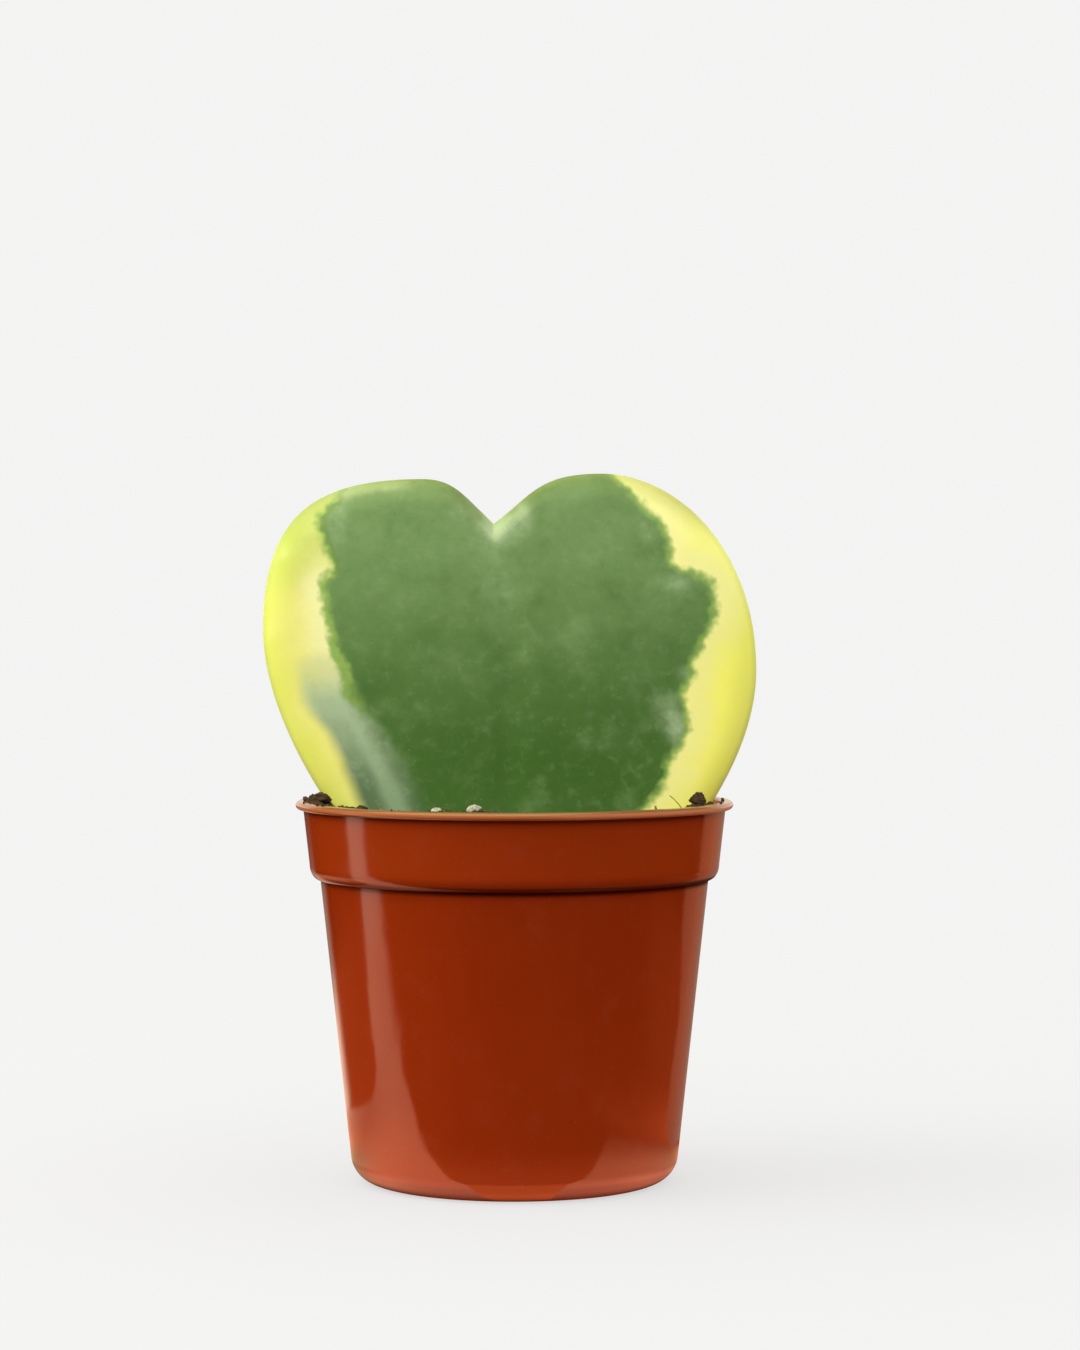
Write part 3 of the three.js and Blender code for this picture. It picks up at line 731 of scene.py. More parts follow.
# Grey over cream, a lime fringe round the green, then the green itself, and painted shade and
# highlight along the margin
greyness = grey_in.rise(-1.4, 1.1) * (1 - height.rise(65, 71) * 0.6)
colour = wax.mixed(greyness, cream, grey)
fringe = wax.mixed(mottle, rgb(156, 188, 92), rgb(124, 160, 66))
wide_fringe = height.rise(63, 67) * (1 - height.rise(70, 76) * 0.75)
fringed = (green_in + wide_fringe * aside.fall(-28, -14) * 1.1).rise(-0.8, 0.3)
colour = wax.mixed(fringed * (1 - greyness * height.fall(62, 66)), colour, fringe)
crisp = green_in.rise(-0.1, 1.2)
soft = green_in.rise(-2.2, 2.2)
colour = wax.mixed(crisp * (1 - greyness) + soft * greyness, colour, green)
corner_line = green_in.band(-0.2, 0.3, 0.5, 1.2) * height.rise(80, 84) * (1 - rightward)
colour = wax.mixed(corner_line * 0.5, colour, rgb(84, 116, 48))
# Painted shade: an olive line along the very margin, where the rounded edge turns from the light
lip_line = (from_margin + (grain - 0.5) * 0.5).rise(0.1, 1.0)
colour = wax.mixed((1 - lip_line) * 0.3, colour, rgb(176, 190, 108))
# Painted highlight: a pale line along the top of the left lobe, where the margin curls back
top_rim_highlight = (from_margin + teeth * 0.4).fall(0.7, 1.9) * height.rise(92, 94) * aside.fall(-18, -13)
colour = wax.mixed(top_rim_highlight * 0.5, colour, rgb(186, 204, 134))
# Painted shade: the top margin darkened against the light from above
top_margin_shade = height.rise(86, 94) * (from_margin + (haze - 0.5)).fall(0.3, 3.4)
colour = wax.mixed(top_margin_shade, colour, rgb(205, 205, 190), blend="MULTIPLY")
underside = wax.mixed(0.4, colour, rgb(160, 182, 122))
colour = wax.mixed(leaf_value("back_side"), colour, underside)
colour = wax.mixed(leaf_value("rooty"), colour, rgb(176, 148, 96))
wax_grain = wax.bump(wax.noise(0.3, detail=3), 0.012)
wax_finish = wax.surface({
    "Base Color": colour,
    "Roughness": 0.42 + (haze - 0.5) * 0.2 + grain * 0.06,
    "IOR": 1.45,
    "Subsurface Weight": 0.12,
    "Subsurface Radius": (0.6, 1.0, 0.25),
    "Subsurface Scale": 0.0012,
    "Normal": wax.bump(wax.noise(2.2, detail=3), 0.05, wax_grain),
})

face_share = np.linspace(0, MARGIN_START, FACE_RINGS + 1)[1:]
roll = np.sin(np.linspace(0, math.pi / 2, MARGIN_RINGS + 1))[1:]
front_share = np.concatenate([face_share, MARGIN_START + (1 - MARGIN_START) * roll])
share = np.concatenate([front_share, front_share[-2::-1]])[:, None]
side = np.where(np.arange(len(share)) < len(front_share), 1, -1)[:, None]
rolled = np.clip((share - MARGIN_START) / (1 - MARGIN_START), 0, 1)
half = LEAF_THICKNESS / 2 * (1 - rolled ** MARGIN_POWER) ** (1 / MARGIN_POWER)
margin = leaf_outline(LEAF_SIDES)
leaf_x = LEAF_HEART[0] + share * (margin[:, 0] - LEAF_HEART[0])
leaf_z = LEAF_HEART[1] + share * (margin[:, 1] - LEAF_HEART[1])
across = (leaf_x - LEAF_HEART[0]) / MIDRIB_WIDTH
groove = MIDRIB_DEPTH * np.exp(-across ** 2) * (1 - share)
leaf_y = blade_depth(leaf_x, leaf_z) - side * half + groove
flat_place = np.stack([leaf_x, 0 * leaf_x + FACE_SPACING * side, leaf_z], -1)
for seed, (size, swell) in enumerate(PILLOW_SIZES):
    leaf_y -= side * swell * (cloud(flat_place, size, PILLOW_SEED + seed) - 0.5) * (1 - rolled)
blade = np.stack([leaf_x, leaf_y, leaf_z], -1)
heart_y = blade_depth(LEAF_HEART[0], LEAF_HEART[1])
front_pole = (LEAF_HEART[0], heart_y - LEAF_THICKNESS / 2 + MIDRIB_DEPTH, LEAF_HEART[1])
back_pole = (LEAF_HEART[0], heart_y + LEAF_THICKNESS / 2 + MIDRIB_DEPTH, LEAF_HEART[1])
blade_mesh = closed_skin("blade", blade, front_pole, back_pole)

all_x = np.concatenate([[front_pole[0]], leaf_x.ravel(), [back_pole[0]]])
all_z = np.concatenate([[front_pole[2]], leaf_z.ravel(), [back_pole[2]]])
carry(blade_mesh, "green_depth", depth_inside(GREEN_EDGE, all_x, all_z))
carry(blade_mesh, "grey_depth", depth_inside(GREY_EDGE, all_x, all_z))
carry(blade_mesh, "margin_depth", distance_to(np.concatenate([margin, margin[:1]]), all_x, all_z))
carry(blade_mesh, "pale", sum(
    weight * np.exp(-((all_x - x) / wide) ** 2 - ((all_z - z) / high) ** 2)
    for x, z, wide, high, weight in PALE_SPOTS))
carry(blade_mesh, "back_side", [0, *np.repeat(side.ravel() < 0, LEAF_SIDES), 1])
carry(blade_mesh, "rooty", 0 * all_x)


def rod(name, points, radii, sides):
    """A closed round rod along a smooth path, its radius going evenly from the first to the last,
    with a pole a little way out of each end."""
    path = smooth_path(points, ROD_STEPS)
    rings = tube(path, np.linspace(*radii, len(path)), sides)
    first, last = path[0] - (path[1] - path[0]) / 2, path[-1] + (path[-1] - path[-2]) / 2
    mesh = closed_skin(name, rings, first, last)
    carry(mesh, "rooty", np.ones(len(mesh.vertices)))
    return mesh


tip_y = blade_depth(*BASE_TIP)
sway = STALK_BEND * np.linspace(0, 1, len(STALK_PLACES)) ** 2
stalk = [(BASE_TIP[0] - away, tip_y - away, z) for away, z in zip(sway, STALK_PLACES)]
leaf_meshes = [blade_mesh, rod("stalk", stalk, (STALK_RADIUS, STALK_RADIUS), STALK_SIDES)]
for i in range(ROOT_COUNT):
    turn = (i + ROOT_TURN_SPREAD * draw(i, 6)) * 2 * math.pi / ROOT_COUNT
    reach = ROOT_REACH * between(ROOT_REACH_SPREAD, draw(i, 7))
    drop = ROOT_DROP * between(ROOT_DROP_SPREAD, draw(i, 8))
    root = [
        (stalk[-1][0] + reach * out * math.cos(turn), stalk[-1][1] + reach * out * math.sin(turn),
         stalk[-1][2] + ROOT_START - drop * fall)
        for out, fall in ROOT_BEND
    ]
    leaf_meshes.append(rod(f"root_{i}", root, ROOT_RADIUS, ROOT_SIDES))
hoya_leaf = stand("hoya_leaf", joined("hoya_leaf", leaf_meshes), wax_finish)
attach(hoya_leaf, "root")
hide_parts("leaf")


# Perlite. Grains of puffed volcanic glass, mixed into the compost to keep it open. Five lie loose
# on top, off-white, rough and full of small pits, and dirtied by the peat.
BIT_SEAT = 0.5
BIT_RINGS = 32
BIT_SIDES = 48
BIT_SPACING = 20
PERLITE_DENTS = ((1.1, 0.30), (0.5, 0.16), (0.22, 0.08))
PERLITE_SEED = 60
# Flat cuts that shape a bit: how many, how far out, how far a corner may reach, the flattest angle
# at which a cut counts, and the numbers that each bit draws for them
CUT_COUNT = 14
CUT_REACH = (0.62, 1.0)
CORNER_REACH = 1.12
CUT_GRAZE = 0.05
CUT_DRAWS = 3


def bit_place(bit):
    """The middle of a loose bit, half sunk in the mound under it."""
    x, y, _, half, _ = bit
    ground = compost_height(np.array([x]), np.array([y]))[0]
    return np.array([x, y, ground + half[2] * BIT_SEAT])


def ball(rings, sides):
    """Directions all round, from the top pole to the bottom one: (sin p cos a, sin p sin a, cos p)
    for the steps p down and the steps a round. The poles are rows of their own."""
    p = np.linspace(0, math.pi, rings + 2)[:, None]
    a = np.arange(sides) * 2 * math.pi / sides
    return np.stack([np.sin(p) * np.cos(a), np.sin(p) * np.sin(a), np.cos(p) + 0 * a], -1)


def lump(name, bit, reach, taper=0):
    """A closed lump: each direction of the ball times its reach and the bit's half sizes, narrowed
    by 1 - taper x height in its upper half, turned about Z and moved to the bit's place."""
    ways = ball(BIT_RINGS, BIT_SIDES)
    _, _, _, half, turn = bit
    local = ways * reach[..., None] * half
    local[..., :2] *= 1 - taper * np.clip(ways[..., 2:], 0, 1)
    x = local[..., 0] * math.cos(turn) - local[..., 1] * math.sin(turn)
    y = local[..., 0] * math.sin(turn) + local[..., 1] * math.cos(turn)
    points = np.stack([x, y, local[..., 2]], -1) + bit_place(bit)
    return closed_skin(name, points[1:-1], points[0, 0], points[-1, 0])


def chipped(ways, seed):
    """How far each direction reaches in a block with flat cuts all round: the least, over the
    cuts, of the cut's distance / (direction . cut's normal), and never past CORNER_REACH."""
    index = np.arange(CUT_COUNT)
    level = 2 * draw(index, seed) - 1
    turn = 2 * math.pi * draw(index, seed + 1)
    flat = np.sqrt(1 - level ** 2)
    normals = np.stack([flat * np.cos(turn), flat * np.sin(turn), level], 1)
    distance = between(CUT_REACH, draw(index, seed + 2))
    facing = np.maximum(ways @ normals.T, CUT_GRAZE)
    return np.minimum(CORNER_REACH, np.min(distance / facing, axis=-1))


def dents(ways, bit, spaced, sizes, seed):
    """Relief on a bit: each size of noise, less a half, times its depth. spaced sets each bit in a
    part of the noise of its own."""
    places = ways * bit[3] + BIT_SPACING * spaced
    return sum(depth * (cloud(places, size, seed) - 0.5) for size, depth in sizes)


glass = Finish("puffed_perlite")
pits = glass.noise(0.28, detail=3, roughness=0.65)
# Patches of peat dirt on the grains
grime_and_shade = glass.noise(0.9, detail=4, roughness=0.7)
glass_colour = glass.mixed(pits.rise(0.3, 0.62), rgb(132, 124, 98), rgb(198, 200, 172))
glass_colour = glass.mixed(grime_and_shade.rise(0.56, 0.72) * 0.7, glass_colour, rgb(122, 98, 66))
glass_finish = glass.surface({
    "Base Color": glass_colour,
    "Roughness": 0.75 + pits * 0.2,
    "IOR": 1.4,
    "Normal": glass.bump(pits, 0.12),
})
for i, grain_row in enumerate(PERLITE_GRAINS):
    ways = ball(BIT_RINGS, BIT_SIDES)
    reach = chipped(ways, PERLITE_SEED + CUT_DRAWS * i)
    reach += dents(ways, grain_row, i, PERLITE_DENTS, PERLITE_SEED + i)
    name = f"perlite_{i + 1}"
    perlite = stand(name, lump(name, grain_row, reach), glass_finish)
    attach(perlite, "root")
    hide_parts(f"perlite_grain_{i + 1}")


# Bark. Chips of composted pine bark in the compost, broken along their layers, dark brown and dull.
# Four of the larger ones stick out of the top, two of them at the ends of the leaf.
CHIP_LAYER = 0.28
CHIP_LAYER_DEPTH = 0.05
CHIP_DENTS = ((0.8, 0.16), (0.3, 0.08))
CHIP_TAPER = (0.35, 0.62, 0.0, 0.0)
CHIP_CUT_SEED = 80
CHIP_DENT_SEED = 90

bark = Finish("composted_bark")
layers = bark.noise(0.8, detail=4, roughness=0.65, place=bark.stretched(1, 1, 4))
crumble = bark.noise(0.25, detail=3)
bark_colour = bark.mixed(layers.rise(0.3, 0.7), rgb(22, 14, 9), rgb(72, 48, 28))
bark_colour = bark.mixed(layers.rise(0.62, 0.72) * 0.6, bark_colour, rgb(112, 80, 50))
bark_finish = bark.surface({
    "Base Color": bark_colour,
    "Roughness": 0.8 + crumble * 0.2,
    "IOR": 1.4,
    "Normal": bark.bump(crumble, 0.1, bark.bump(layers, 0.25)),
})
for i, chip_row in enumerate(BARK_CHIPS):
    ways = ball(BIT_RINGS, BIT_SIDES)
    reach = chipped(ways, CHIP_CUT_SEED + CUT_DRAWS * i)
    reach += CHIP_LAYER_DEPTH * np.sin(2 * math.pi * ways[..., 2] * chip_row[3][2] / CHIP_LAYER)
    reach += dents(ways, chip_row, i, CHIP_DENTS, CHIP_DENT_SEED + i)
    name = f"bark_{i + 1}"
    chip = stand(name, lump(name, chip_row, reach, CHIP_TAPER[i]), bark_finish)
    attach(chip, "root")
    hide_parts(f"bark_chip_{i + 1}")


# Crumbs. Loose bits of peat and fine bark on top of the compost, most of them dark and some tan,
# with a few that watering has left on the pot's lip. They are one loose layer.
CRUMB_COUNT = 1300
CRUMB_RADIUS = (0.22, 1.0)
CRUMB_WIDTH = (0.55, 1.0)
CRUMB_RINGS = 4
CRUMB_SIDES = 8
CRUMB_REACH = (0.7, 1.15)
CRUMB_SEAT = 0.25
CRUMB_TILT = 1.6
BIT_CLEAR = 0.6
LEAF_CLEAR = 0.4
LIP_CRUMBS = 9
LIP_CRUMB_RADIUS = (0.12, 0.3)
LIP_CRUMB_BAND = (-0.3, 0.2)
LIP_CRUMB_SEAT = 0.5
# Crumbs pushed up against the lip at the ends of the leaf: x, y, z and size
HEAPED_CRUMBS = np.array([
    (-28.5, -2.4, 52.35, 0.6), (-27.6, -3.4, 52.4, 0.9), (-27.8, -0.8, 52.2, 0.8),
    (-26.8, -6.4, 51.9, 0.8), (-27.2, 1.2, 52.1, 0.7), (28.5, -1.6, 52.3, 0.35),
    (26.6, -5.6, 51.6, 0.7), (24.0, -9.6, 51.5, 0.6),
])

crumb = np.arange(CRUMB_COUNT)
crumb_size = between(CRUMB_RADIUS, draw(crumb, 30) ** 2.5)
crumb_way = (plug_reach - crumb_size) * np.sqrt((crumb + 0.5) / CRUMB_COUNT)
crumb_turn = crumb * GOLDEN_ANGLE + draw(crumb, 31)
crumb_x, crumb_y = crumb_way * np.cos(crumb_turn), crumb_way * np.sin(crumb_turn)
crumb_z = compost_height(crumb_x, crumb_y) + crumb_size * CRUMB_SEAT
leaf_room = LEAF_THICKNESS / 2 + LEAF_CLEAR
off_leaf = np.abs(crumb_y - blade_depth(crumb_x, crumb_z)) > leaf_room + crumb_size
off_bits = np.ones(CRUMB_COUNT, bool)
for x, y, _, half, _ in PERLITE_GRAINS + BARK_CHIPS:
    off_bits &= np.hypot(crumb_x - x, crumb_y - y) > half[0] + crumb_size * BIT_CLEAR
loose = off_leaf & off_bits

lip_crumb = np.arange(LIP_CRUMBS)
lip_size = between(LIP_CRUMB_RADIUS, draw(lip_crumb, 32))
lip_turn = 2 * math.pi * draw(lip_crumb, 33)
lip_way = RIM_RADIUS - lip_radius + between(LIP_CRUMB_BAND, draw(lip_crumb, 34))
crumb_places = np.concatenate([
    np.stack([crumb_x, crumb_y, crumb_z], 1)[loose],
    np.stack([lip_way * np.cos(lip_turn), lip_way * np.sin(lip_turn),
              POT_HEIGHT + LIP_CRUMB_SEAT * lip_size], 1),
    HEAPED_CRUMBS[:, :3],
])
crumb_sizes = np.concatenate([crumb_size[loose], lip_size, HEAPED_CRUMBS[:, 3]])
kept = np.arange(len(crumb_sizes))

crumb_ball = ball(CRUMB_RINGS, CRUMB_SIDES)
corner = np.arange(crumb_ball[..., 0].size).reshape(crumb_ball.shape[:2])
corner[0], corner[-1] = corner[0, 0], corner[-1, 0]
knobs = between(CRUMB_REACH, draw(kept[:, None, None] * corner.size + corner, 35))
stretch = np.stack([
    np.ones(len(kept)), between(CRUMB_WIDTH, draw(kept, 36)), between(CRUMB_WIDTH, draw(kept, 37)),
], 1)
body = crumb_ball * knobs[..., None] * (crumb_sizes[:, None] * stretch)[:, None, None]
spin = 2 * math.pi * draw(kept, 38)[:, None, None]
tilt = (draw(kept, 39)[:, None, None] - 0.5) * CRUMB_TILT
x, y, z = np.moveaxis(body, -1, 0)
x, z = x * np.cos(tilt) - z * np.sin(tilt), x * np.sin(tilt) + z * np.cos(tilt)
x, y = x * np.cos(spin) - y * np.sin(spin), x * np.sin(spin) + y * np.cos(spin)
crumb_points = np.stack([x, y, z], -1) + crumb_places[:, None, None]


def many_skins(name, points, first_poles, last_poles):
    """One mesh of many closed skins with the same faces: closed_skin's faces, with each skin's
    points numbered on from the last."""
    pattern = closed_skin("pattern", points[0], first_poles[0], last_poles[0])
    faces = [np.array(face.vertices) for face in pattern.polygons]
    each = len(pattern.vertices)
    bpy.data.meshes.remove(pattern)
    count = len(points)
    every = np.concatenate([
        first_poles[:, None], points.reshape(count, -1, 3), last_poles[:, None]], 1)
    start = each * np.arange(count)[:, None]
    whole = [row.tolist() for face in faces for row in face + start]
    mesh = bpy.data.meshes.new(name)
    mesh.from_pydata(every.reshape(-1, 3) * MM, [], whole)
    mesh.shade_smooth()
    return mesh


crumb_mesh = many_skins(
    "loose_crumbs", crumb_points[:, 1:-1], crumb_points[:, 0, 0], crumb_points[:, -1, 0])
carry(crumb_mesh, "tone", np.repeat(draw(kept, 40) ** 4, len(crumb_mesh.vertices) // len(kept)))
crumb_mesh.set_sharp_from_angle(angle=SHARP_ANGLE)
loose_crumbs = stand("loose_crumbs", crumb_mesh, peat_finish)
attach(loose_crumbs, "root")


# Fibres. Dry strands of moss and fine root in the top of the compost, brown to straw-coloured and
# as thin as hair, lying over the crumbs. Two of them stand up in front of the leaf at the right.
FIBRE_COUNT = 70
FIBRE_LENGTH = (3, 9)
FIBRE_RADIUS = (0.05, 0.11)
FIBRE_POINTS = 10
FIBRE_SIDES = 5
FIBRE_CURL = 0.35
FIBRE_SEAT = 0.25
FIBRE_LIFT = (0.1, 0.9)
FIBRE_REACH = 27.0
FIBRE_TAPER = 0.6
STRANDS = (
    ((21.0, -8.8, 53.3), (21.6, -9.0, 52.8), (22.4, -9.2, 51.9), (23.6, -9.6, 50.0)),
    ((19.0, -10.2, 52.0), (19.1, -10.2, 51.6), (19.2, -10.1, 50.9), (19.1, -10.0, 49.8)),
)
STRAND_RADII = (0.09, 0.24)
STRAND_TIP = 0.5
STRAND_STEPS = 5
STRAND_SIDES = 8

fibre = np.arange(FIBRE_COUNT)[:, None]
t = np.linspace(0, 1, FIBRE_POINTS)
heading = 2 * math.pi * draw(fibre, 50)
length = between(FIBRE_LENGTH, draw(fibre, 51))
start_way = FIBRE_REACH * np.sqrt(draw(fibre, 52))
start_turn = fibre * GOLDEN_ANGLE
bow = FIBRE_CURL * length * (2 * draw(fibre, 53) - 1) * 4 * t * (1 - t)
fibre_x = start_way * np.cos(start_turn) + length * t * np.cos(heading) - bow * np.sin(heading)
fibre_y = start_way * np.sin(start_turn) + length * t * np.sin(heading) + bow * np.cos(heading)
inward = np.minimum(1, FIBRE_REACH / np.hypot(fibre_x, fibre_y))
fibre_x, fibre_y = fibre_x * inward, fibre_y * inward
middle = blade_depth(fibre_x, COMPOST_LEVEL)
in_front = np.where(fibre_y[:, :1] < middle[:, :1], -1, 1)
fibre_y = middle + in_front * np.maximum(in_front * (fibre_y - middle), leaf_room)
lift = between(FIBRE_LIFT, draw(fibre, 54)) * 4 * t * (1 - t)
fibre_z = compost_height(fibre_x, fibre_y) + FIBRE_SEAT + lift
fibre_radius = between(FIBRE_RADIUS, draw(fibre[:, 0], 55))
paths = np.stack([fibre_x, fibre_y, fibre_z], -1)
taper = 1 - FIBRE_TAPER * t
fibre_meshes = [
    closed_skin("fibre", tube(path, radius * taper, FIBRE_SIDES), path[0], path[-1])
    for path, radius in zip(paths, fibre_radius)
]
for points, radius in zip(STRANDS, STRAND_RADII):
    path = smooth_path(points, STRAND_STEPS)
    radii = np.linspace(STRAND_TIP, 1, len(path)) * radius
    fibre_meshes.append(closed_skin("fibre", tube(path, radii, STRAND_SIDES), path[0], path[-1]))

straw = Finish("dry_fibre")
streaks = straw.noise(0.5, detail=3, place=straw.stretched(1, 1, 0.3))
clumps = straw.noise(5, detail=1)
straw_colour = straw.mixed(clumps.rise(0.35, 0.65), rgb(92, 62, 30), rgb(150, 118, 68))
straw_colour = straw.mixed(streaks.rise(0.5, 0.7) * 0.6, straw_colour, rgb(70, 46, 24))
straw_finish = straw.surface({
    "Base Color": straw_colour,
    "Roughness": 0.7 + streaks * 0.2,
    "IOR": 1.45,
    "Normal": straw.bump(streaks, 0.02),
})
dry_fibres = stand("dry_fibres", joined("dry_fibres", fibre_meshes), straw_finish)
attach(dry_fibres, "root")


# Floor and backdrop. A pale matt floor that fades into an even pale backdrop, which only the camera
# sees, and the light that the floor throws back up at the pot's foot.
PAPER = (0.9, 0.9, 0.895)
FLOOR_TONE = (0.44, 0.44, 0.437)
FLOOR_RADIUS = 3000
FLOOR_SIDES = 96
FLOOR_SHARE = 0.7
FADE_START = 100
FADE_END = 400
BOUNCE_LIGHT = (0.55, 0.4, 0.32)
BOUNCE_RADIUS = 75
BOUNCE_DEPTH = 0.4
BACKDROP_RADIUS = 4000
BACKDROP_RINGS = 30
BACKDROP_SIDES = 60


def level_finish(name):
    """A finish for a level sheet, with the distance from the pot's axis and the places across and
    back, in millimetres."""
    finish = Finish(name)
    length = {"operation": "LENGTH"}
    way = finish.node("ShaderNodeVectorMath", length, {0: finish.place}, output="Value")
    across, back = finish.places("XY")
    return finish, way * (1 / MM), across, back


def glowing(finish, colour):
    """Ends a finish that only gives off light of that colour, and gives the material."""
    return finish.close(finish.node("ShaderNodeEmission", None, {"Color": colour}))


def stage_sheet(name, points, finish, seen_by):
    """A flat stage piece with those corners, in millimetres, that only one kind of ray sees."""
    mesh = bpy.data.meshes.new(name)
    mesh.from_pydata(np.array(points) * MM, [], [list(range(len(points)))])
    thing = stand(name, mesh, finish)
    thing.visible_camera = seen_by == "camera"
    thing.visible_glossy = seen_by == "glossy"
    thing.visible_diffuse = seen_by == "diffuse"
    thing.visible_shadow = False


paper, way, *_ = level_finish("pale_paper")
fade = FLOOR_SHARE + (1 - FLOOR_SHARE) * way.rise(FADE_START, FADE_END)
matt = paper.node("ShaderNodeBsdfDiffuse", None, {"Color": FLOOR_TONE})
even = paper.node("ShaderNodeEmission", None, {"Color": PAPER})
paper_finish = paper.close(paper.node("ShaderNodeMixShader", None, {0: fade, 1: matt, 2: even}))
floor_angle = np.arange(FLOOR_SIDES) * 2 * math.pi / FLOOR_SIDES
floor_edge = np.stack([np.cos(floor_angle), np.sin(floor_angle), 0 * floor_angle], 1)
stage_sheet("floor", floor_edge * FLOOR_RADIUS, paper_finish, "camera")
bounce_finish = glowing(Finish("bounce_light"), BOUNCE_LIGHT)
bounce_edge = floor_edge * BOUNCE_RADIUS - (0, 0, BOUNCE_DEPTH)
stage_sheet("floor_bounce", bounce_edge, bounce_finish, "diffuse")

dome = ball(BACKDROP_RINGS, BACKDROP_SIDES) * BACKDROP_RADIUS
dome_mesh = closed_skin("backdrop", dome[1:-1], dome[0, 0], dome[-1, 0])
backdrop = stand("backdrop", dome_mesh, glowing(Finish("even_backdrop"), PAPER))
backdrop.visible_diffuse = False
backdrop.visible_glossy = False
backdrop.visible_shadow = False


# Low cards. What the pot's gloss mirrors from the level round its foot: a bright patch that leaves
# a dark arch in the middle of the pot, a red blush close to the foot, a pale glow far off at the
# left, and a dim warm light at the right. Only reflections see them.
CARD_HEIGHT = 0.4
TABLE_FOOT = (5.4, 1.7, 1.0)
TABLE_BESIDE = (1.9, 1.55, 0.85)
TABLE_NEAR = (4.2, 1.5, 0.8)
TABLE_FAR = (2.3, 1.25, 0.8)
TABLE_FARTHEST = (1.85, 1.5, 1.15)
# The bright patch, as (x, y) once round: its outer edge at the left, then its edge along the arch
TABLE_CARD = (
    (30, 20), (0, 60), (-25, 66), (-39, 54), (-48, 33), (-51, 27), (-53.5, 20), (-56.5, 11.5),
    (-59, 4), (-65, 0), (-75.2, -1), (-86.5, 2.2), (-98.8, 8), (-111, 10), (-124, 13),
    (-138, 14), (-167, 19), (-191, 24), (-205, 26), (-215, 24), (-232, 28), (-258, 38),
    (-340, 75), (-340, 0), (-262, -18), (-239, -20), (-221, -23), (-205, -32), (-190, -37),
    (-126, -38), (-99, -41), (-88, -38), (-80, -31), (-66, -28), (-54, -29), (-40, -28.5),
    (-29.5, -27), (-21, -27), (-14, -25.5), (-8, -23.5), (-4, -20.5), (5, -20), (9, -23),
    (15, -24.5), (23, -26), (29, -27), (33, -26), (36, -22), (38, -15), (38.5, -8), (38.4, 0),
    (36, 9),
)
BLUSH_LIGHT = (1.0, 0.185, 0.06)
BLUSH_RADIUS = 620
BLUSH_DROP = 0.1
LEFT_LIGHT = (0.9, 0.76, 0.58)
SIDE_LIGHT = (0.7, 0.27, 0.14)
SIDE_EDGE_LIGHT = (0.4, 0.25, 0.18)
SIDE_CARD = (
    (35, 9), (44, 9), (56, 18), (72, 31), (106, 67), (167, 90), (202, 97), (270, 170), (500, 420),
    (400, 690), (80, 690), (45, 170), (27, 70), (27, 40),
)
# The glows at the two sides change along lines that meet this far in front of the pot's axis
EDGE_FOCUS = 60


def low_card(name, outline, finish):
    """A level card at the cards' height with that outline, as (x, y)."""
    stage_sheet(name, [(x, y, CARD_HEIGHT) for x, y in outline], finish, "glossy")


def scaled(finish, colour, share):
    """The colour times the share."""
    values = {0: colour, "Scale": share}
    return finish.node("ShaderNodeVectorMath", {"operation": "SCALE"}, values, output="Vector")


table, way, across, back = level_finish("table_light")
table_colour = table.mixed(way.rise(28, 62), TABLE_NEAR, TABLE_FAR)
table_colour = table.mixed(way.rise(22.5, 28), TABLE_FOOT, table_colour)
table_colour = table.mixed(way.rise(130, 205), table_colour, TABLE_FARTHEST)
beside_foot = back.rise(-14, 4) * way.fall(29, 42) * (1 - across.rise(0, 20) * 0.6)
beside_foot = beside_foot + way.fall(22, 24) * across.fall(-10, 0) * 0.25
table_colour = table.mixed(beside_foot, table_colour, TABLE_BESIDE)
# The patch dims behind the pot, at its right and round its foot, and ends at the far left
kept_light = 1 - way.fall(45, 95) * back.rise(-22, 10) * 0.67
kept_light = kept_light * (1 - across.rise(-5, 18) * way.rise(24, 29) * 0.25)
kept_light = kept_light * (1 - way.rise(30, 41) * across.rise(0, 10) * 0.75)
kept_light = kept_light * way.rise(20.2, 22.2)
kept_light = kept_light * (1 - way.fall(21.8, 23.8) * (0.27 + across.rise(0, 18) * 0.2))
kept_light = kept_light * (1 - way.fall(25, 29) * back.rise(-16, -4) * 0.45)
kept_light = kept_light * (1 - across.fall(-95, -70) * back.fall(-36, -20))
table_finish = glowing(table, table.mixed(kept_light, (0, 0, 0), table_colour))
low_card("table_card", TABLE_CARD, table_finish)

blush, way, across, back = level_finish("table_blush")
reddened = way.fall(27, 40) * 1.5 + way.fall(24, 26) * (2.9 - back.rise(-18, -11) * 1.9)
reddened = reddened + across.rise(34, 42) * way.fall(46, 70) * 0.7
reddened = (reddened + back.rise(-30, 5) * 0.4) * way.rise(20.0, 21.6) * way.fall(150, 225)
# The pale glow lies beyond a line at the left, and fades with the distance
lean = (0 - across) / (back + EDGE_FOCUS)
left_share = lean.fall(0.4, 0.61) * back.rise(25, 50) * across.fall(-30, -5)
left_share = left_share * (1 - way.rise(120, 260) * 0.63) * (1 - way.rise(330, 520) * 0.7)
blush_colours = {0: scaled(blush, BLUSH_LIGHT, reddened), 1: scaled(blush, LEFT_LIGHT, left_share)}
blush_finish = glowing(blush, blush.node("ShaderNodeVectorMath", None, blush_colours))
blush_edge = floor_edge * BLUSH_RADIUS + (0, 0, CARD_HEIGHT - BLUSH_DROP)
stage_sheet("table_blush", blush_edge, blush_finish, "glossy")

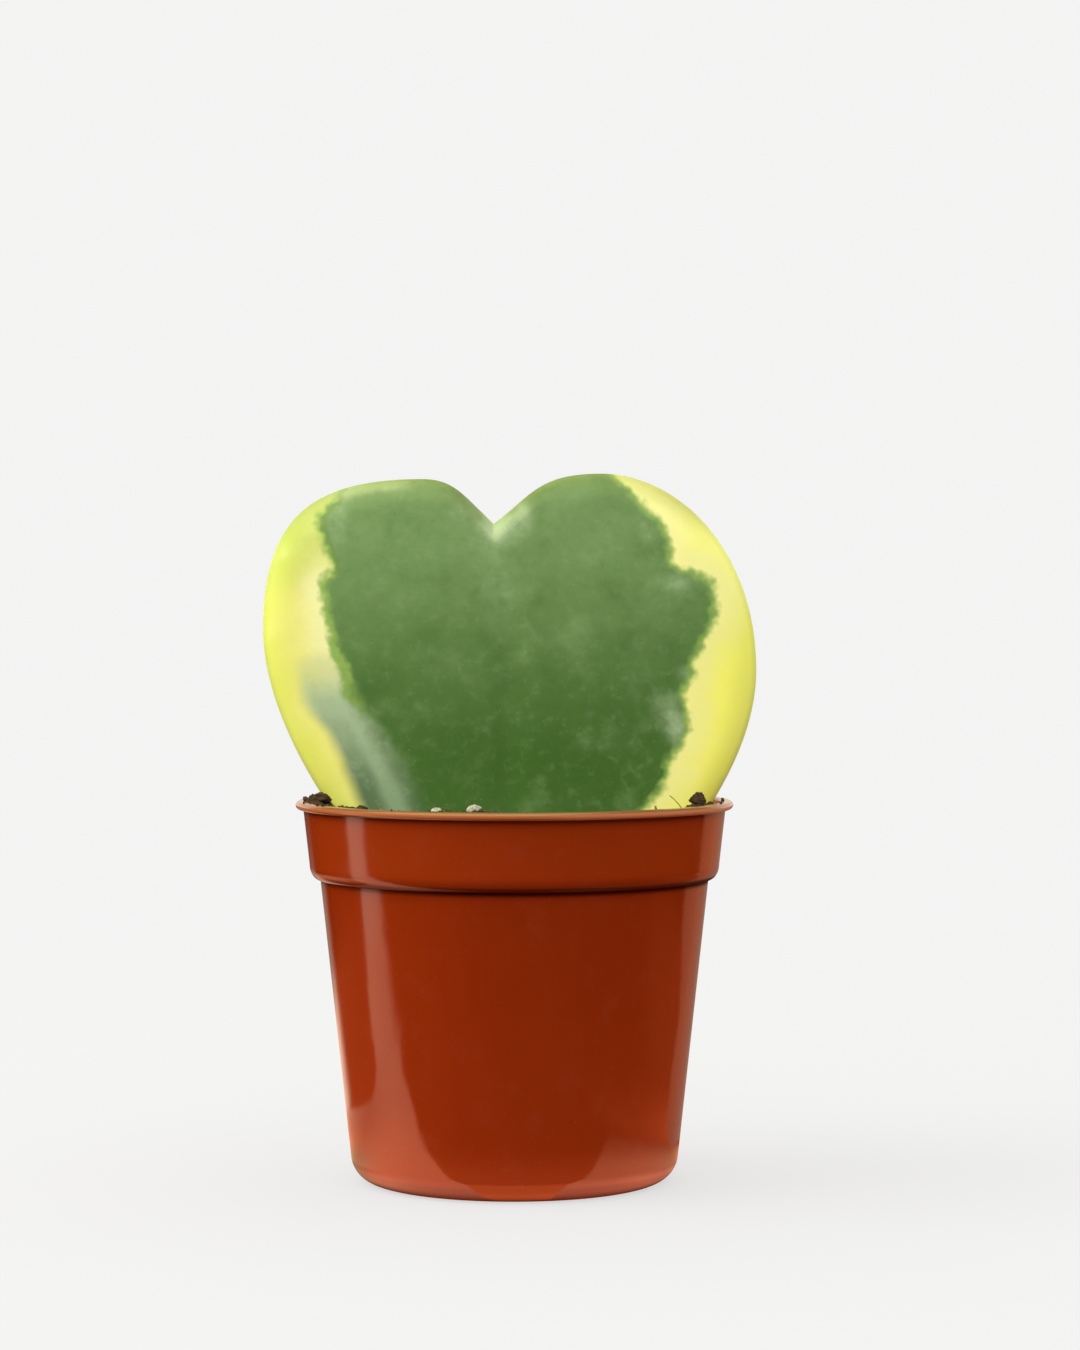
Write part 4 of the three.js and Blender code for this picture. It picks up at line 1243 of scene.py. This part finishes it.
beside, _, across, back = level_finish("side_light")
past_edge = (across / (back + EDGE_FOCUS)).rise(0.4, 0.7)
side_finish = glowing(beside, beside.mixed(past_edge, SIDE_EDGE_LIGHT, SIDE_LIGHT))
low_card("side_card", SIDE_CARD, side_finish)


# High cards. A pale wall behind the pot and a bright ceiling, which the rim, the leaf's wax and the
# back of the pot mirror. Only reflections see them.
BACK_LIGHT = (1.1, 0.95, 0.8)
BACK_HALF_WIDTH = 700
BACK_PLACE = 700
BACK_HEIGHTS = (25, 500)
TOP_LIGHT = (3.2, 3.2, 1.4)
TOP_CARD = ((-1200, -1500), (400, -1500), (400, 200), (-1200, 200))
TOP_HEIGHT = 900

back_points = [
    (side * BACK_HALF_WIDTH, BACK_PLACE, level)
    for side, level in zip((-1, 1, 1, -1), np.repeat(BACK_HEIGHTS, 2))
]
stage_sheet("back_card", back_points, glowing(Finish("back_light"), BACK_LIGHT), "glossy")
top_points = [(x, y, TOP_HEIGHT) for x, y in TOP_CARD]
stage_sheet("top_card", top_points, glowing(Finish("top_light"), TOP_LIGHT), "glossy")


# Lamp and sky. A soft square lamp above the pot at the left, and a sky that is brightest half-way
# up. They light the pieces, and the cards take their place in the reflections.
KEY_DISTANCE = 1100
KEY_TURN = math.radians(-80)
KEY_HEIGHT = math.radians(35)
KEY_SIZE = 900
KEY_POWER = 9
SKY_COLOUR = (1, 0.99, 0.97)
SKY_LOW = 0.13
SKY_HIGH = 3.1
# Heights, as the sine of the angle above the level, between which the sky brightens and then dims
SKY_BRIGHTENS = (0.16, 0.58)
SKY_DIMS = (0.62, 0.95)
SKY_DIMMED = 0.85

key_data = bpy.data.lights.new("key", "AREA")
key_data.size = KEY_SIZE * MM
key_data.energy = KEY_POWER
key = bpy.data.objects.new("key", key_data)
key_way = np.array([
    math.sin(KEY_TURN) * math.cos(KEY_HEIGHT),
    -math.cos(KEY_TURN) * math.cos(KEY_HEIGHT),
    math.sin(KEY_HEIGHT),
])
key.location = key_way * KEY_DISTANCE * MM
key.rotation_euler = (math.pi / 2 - KEY_HEIGHT, 0, KEY_TURN)
key.visible_glossy = False
bpy.context.scene.collection.objects.link(key)

sky = Finish("studio", bpy.data.worlds)
seen_way = sky.node("ShaderNodeTexCoord", output="Generated")
up = sky.node("ShaderNodeSeparateXYZ", None, {0: seen_way}, output="Z")
half_way_up = up.rise(*SKY_BRIGHTENS) * (1 - SKY_DIMMED * up.rise(*SKY_DIMS))
strength = SKY_LOW + SKY_HIGH * half_way_up
background = sky.node("ShaderNodeBackground", None, {"Color": SKY_COLOUR, "Strength": strength})
sky.node("ShaderNodeOutputWorld", None, {"Surface": background})
sky.owner.cycles_visibility.glossy = False
bpy.context.scene.world = sky.owner
bpy.context.scene.view_settings.view_transform = "Standard"
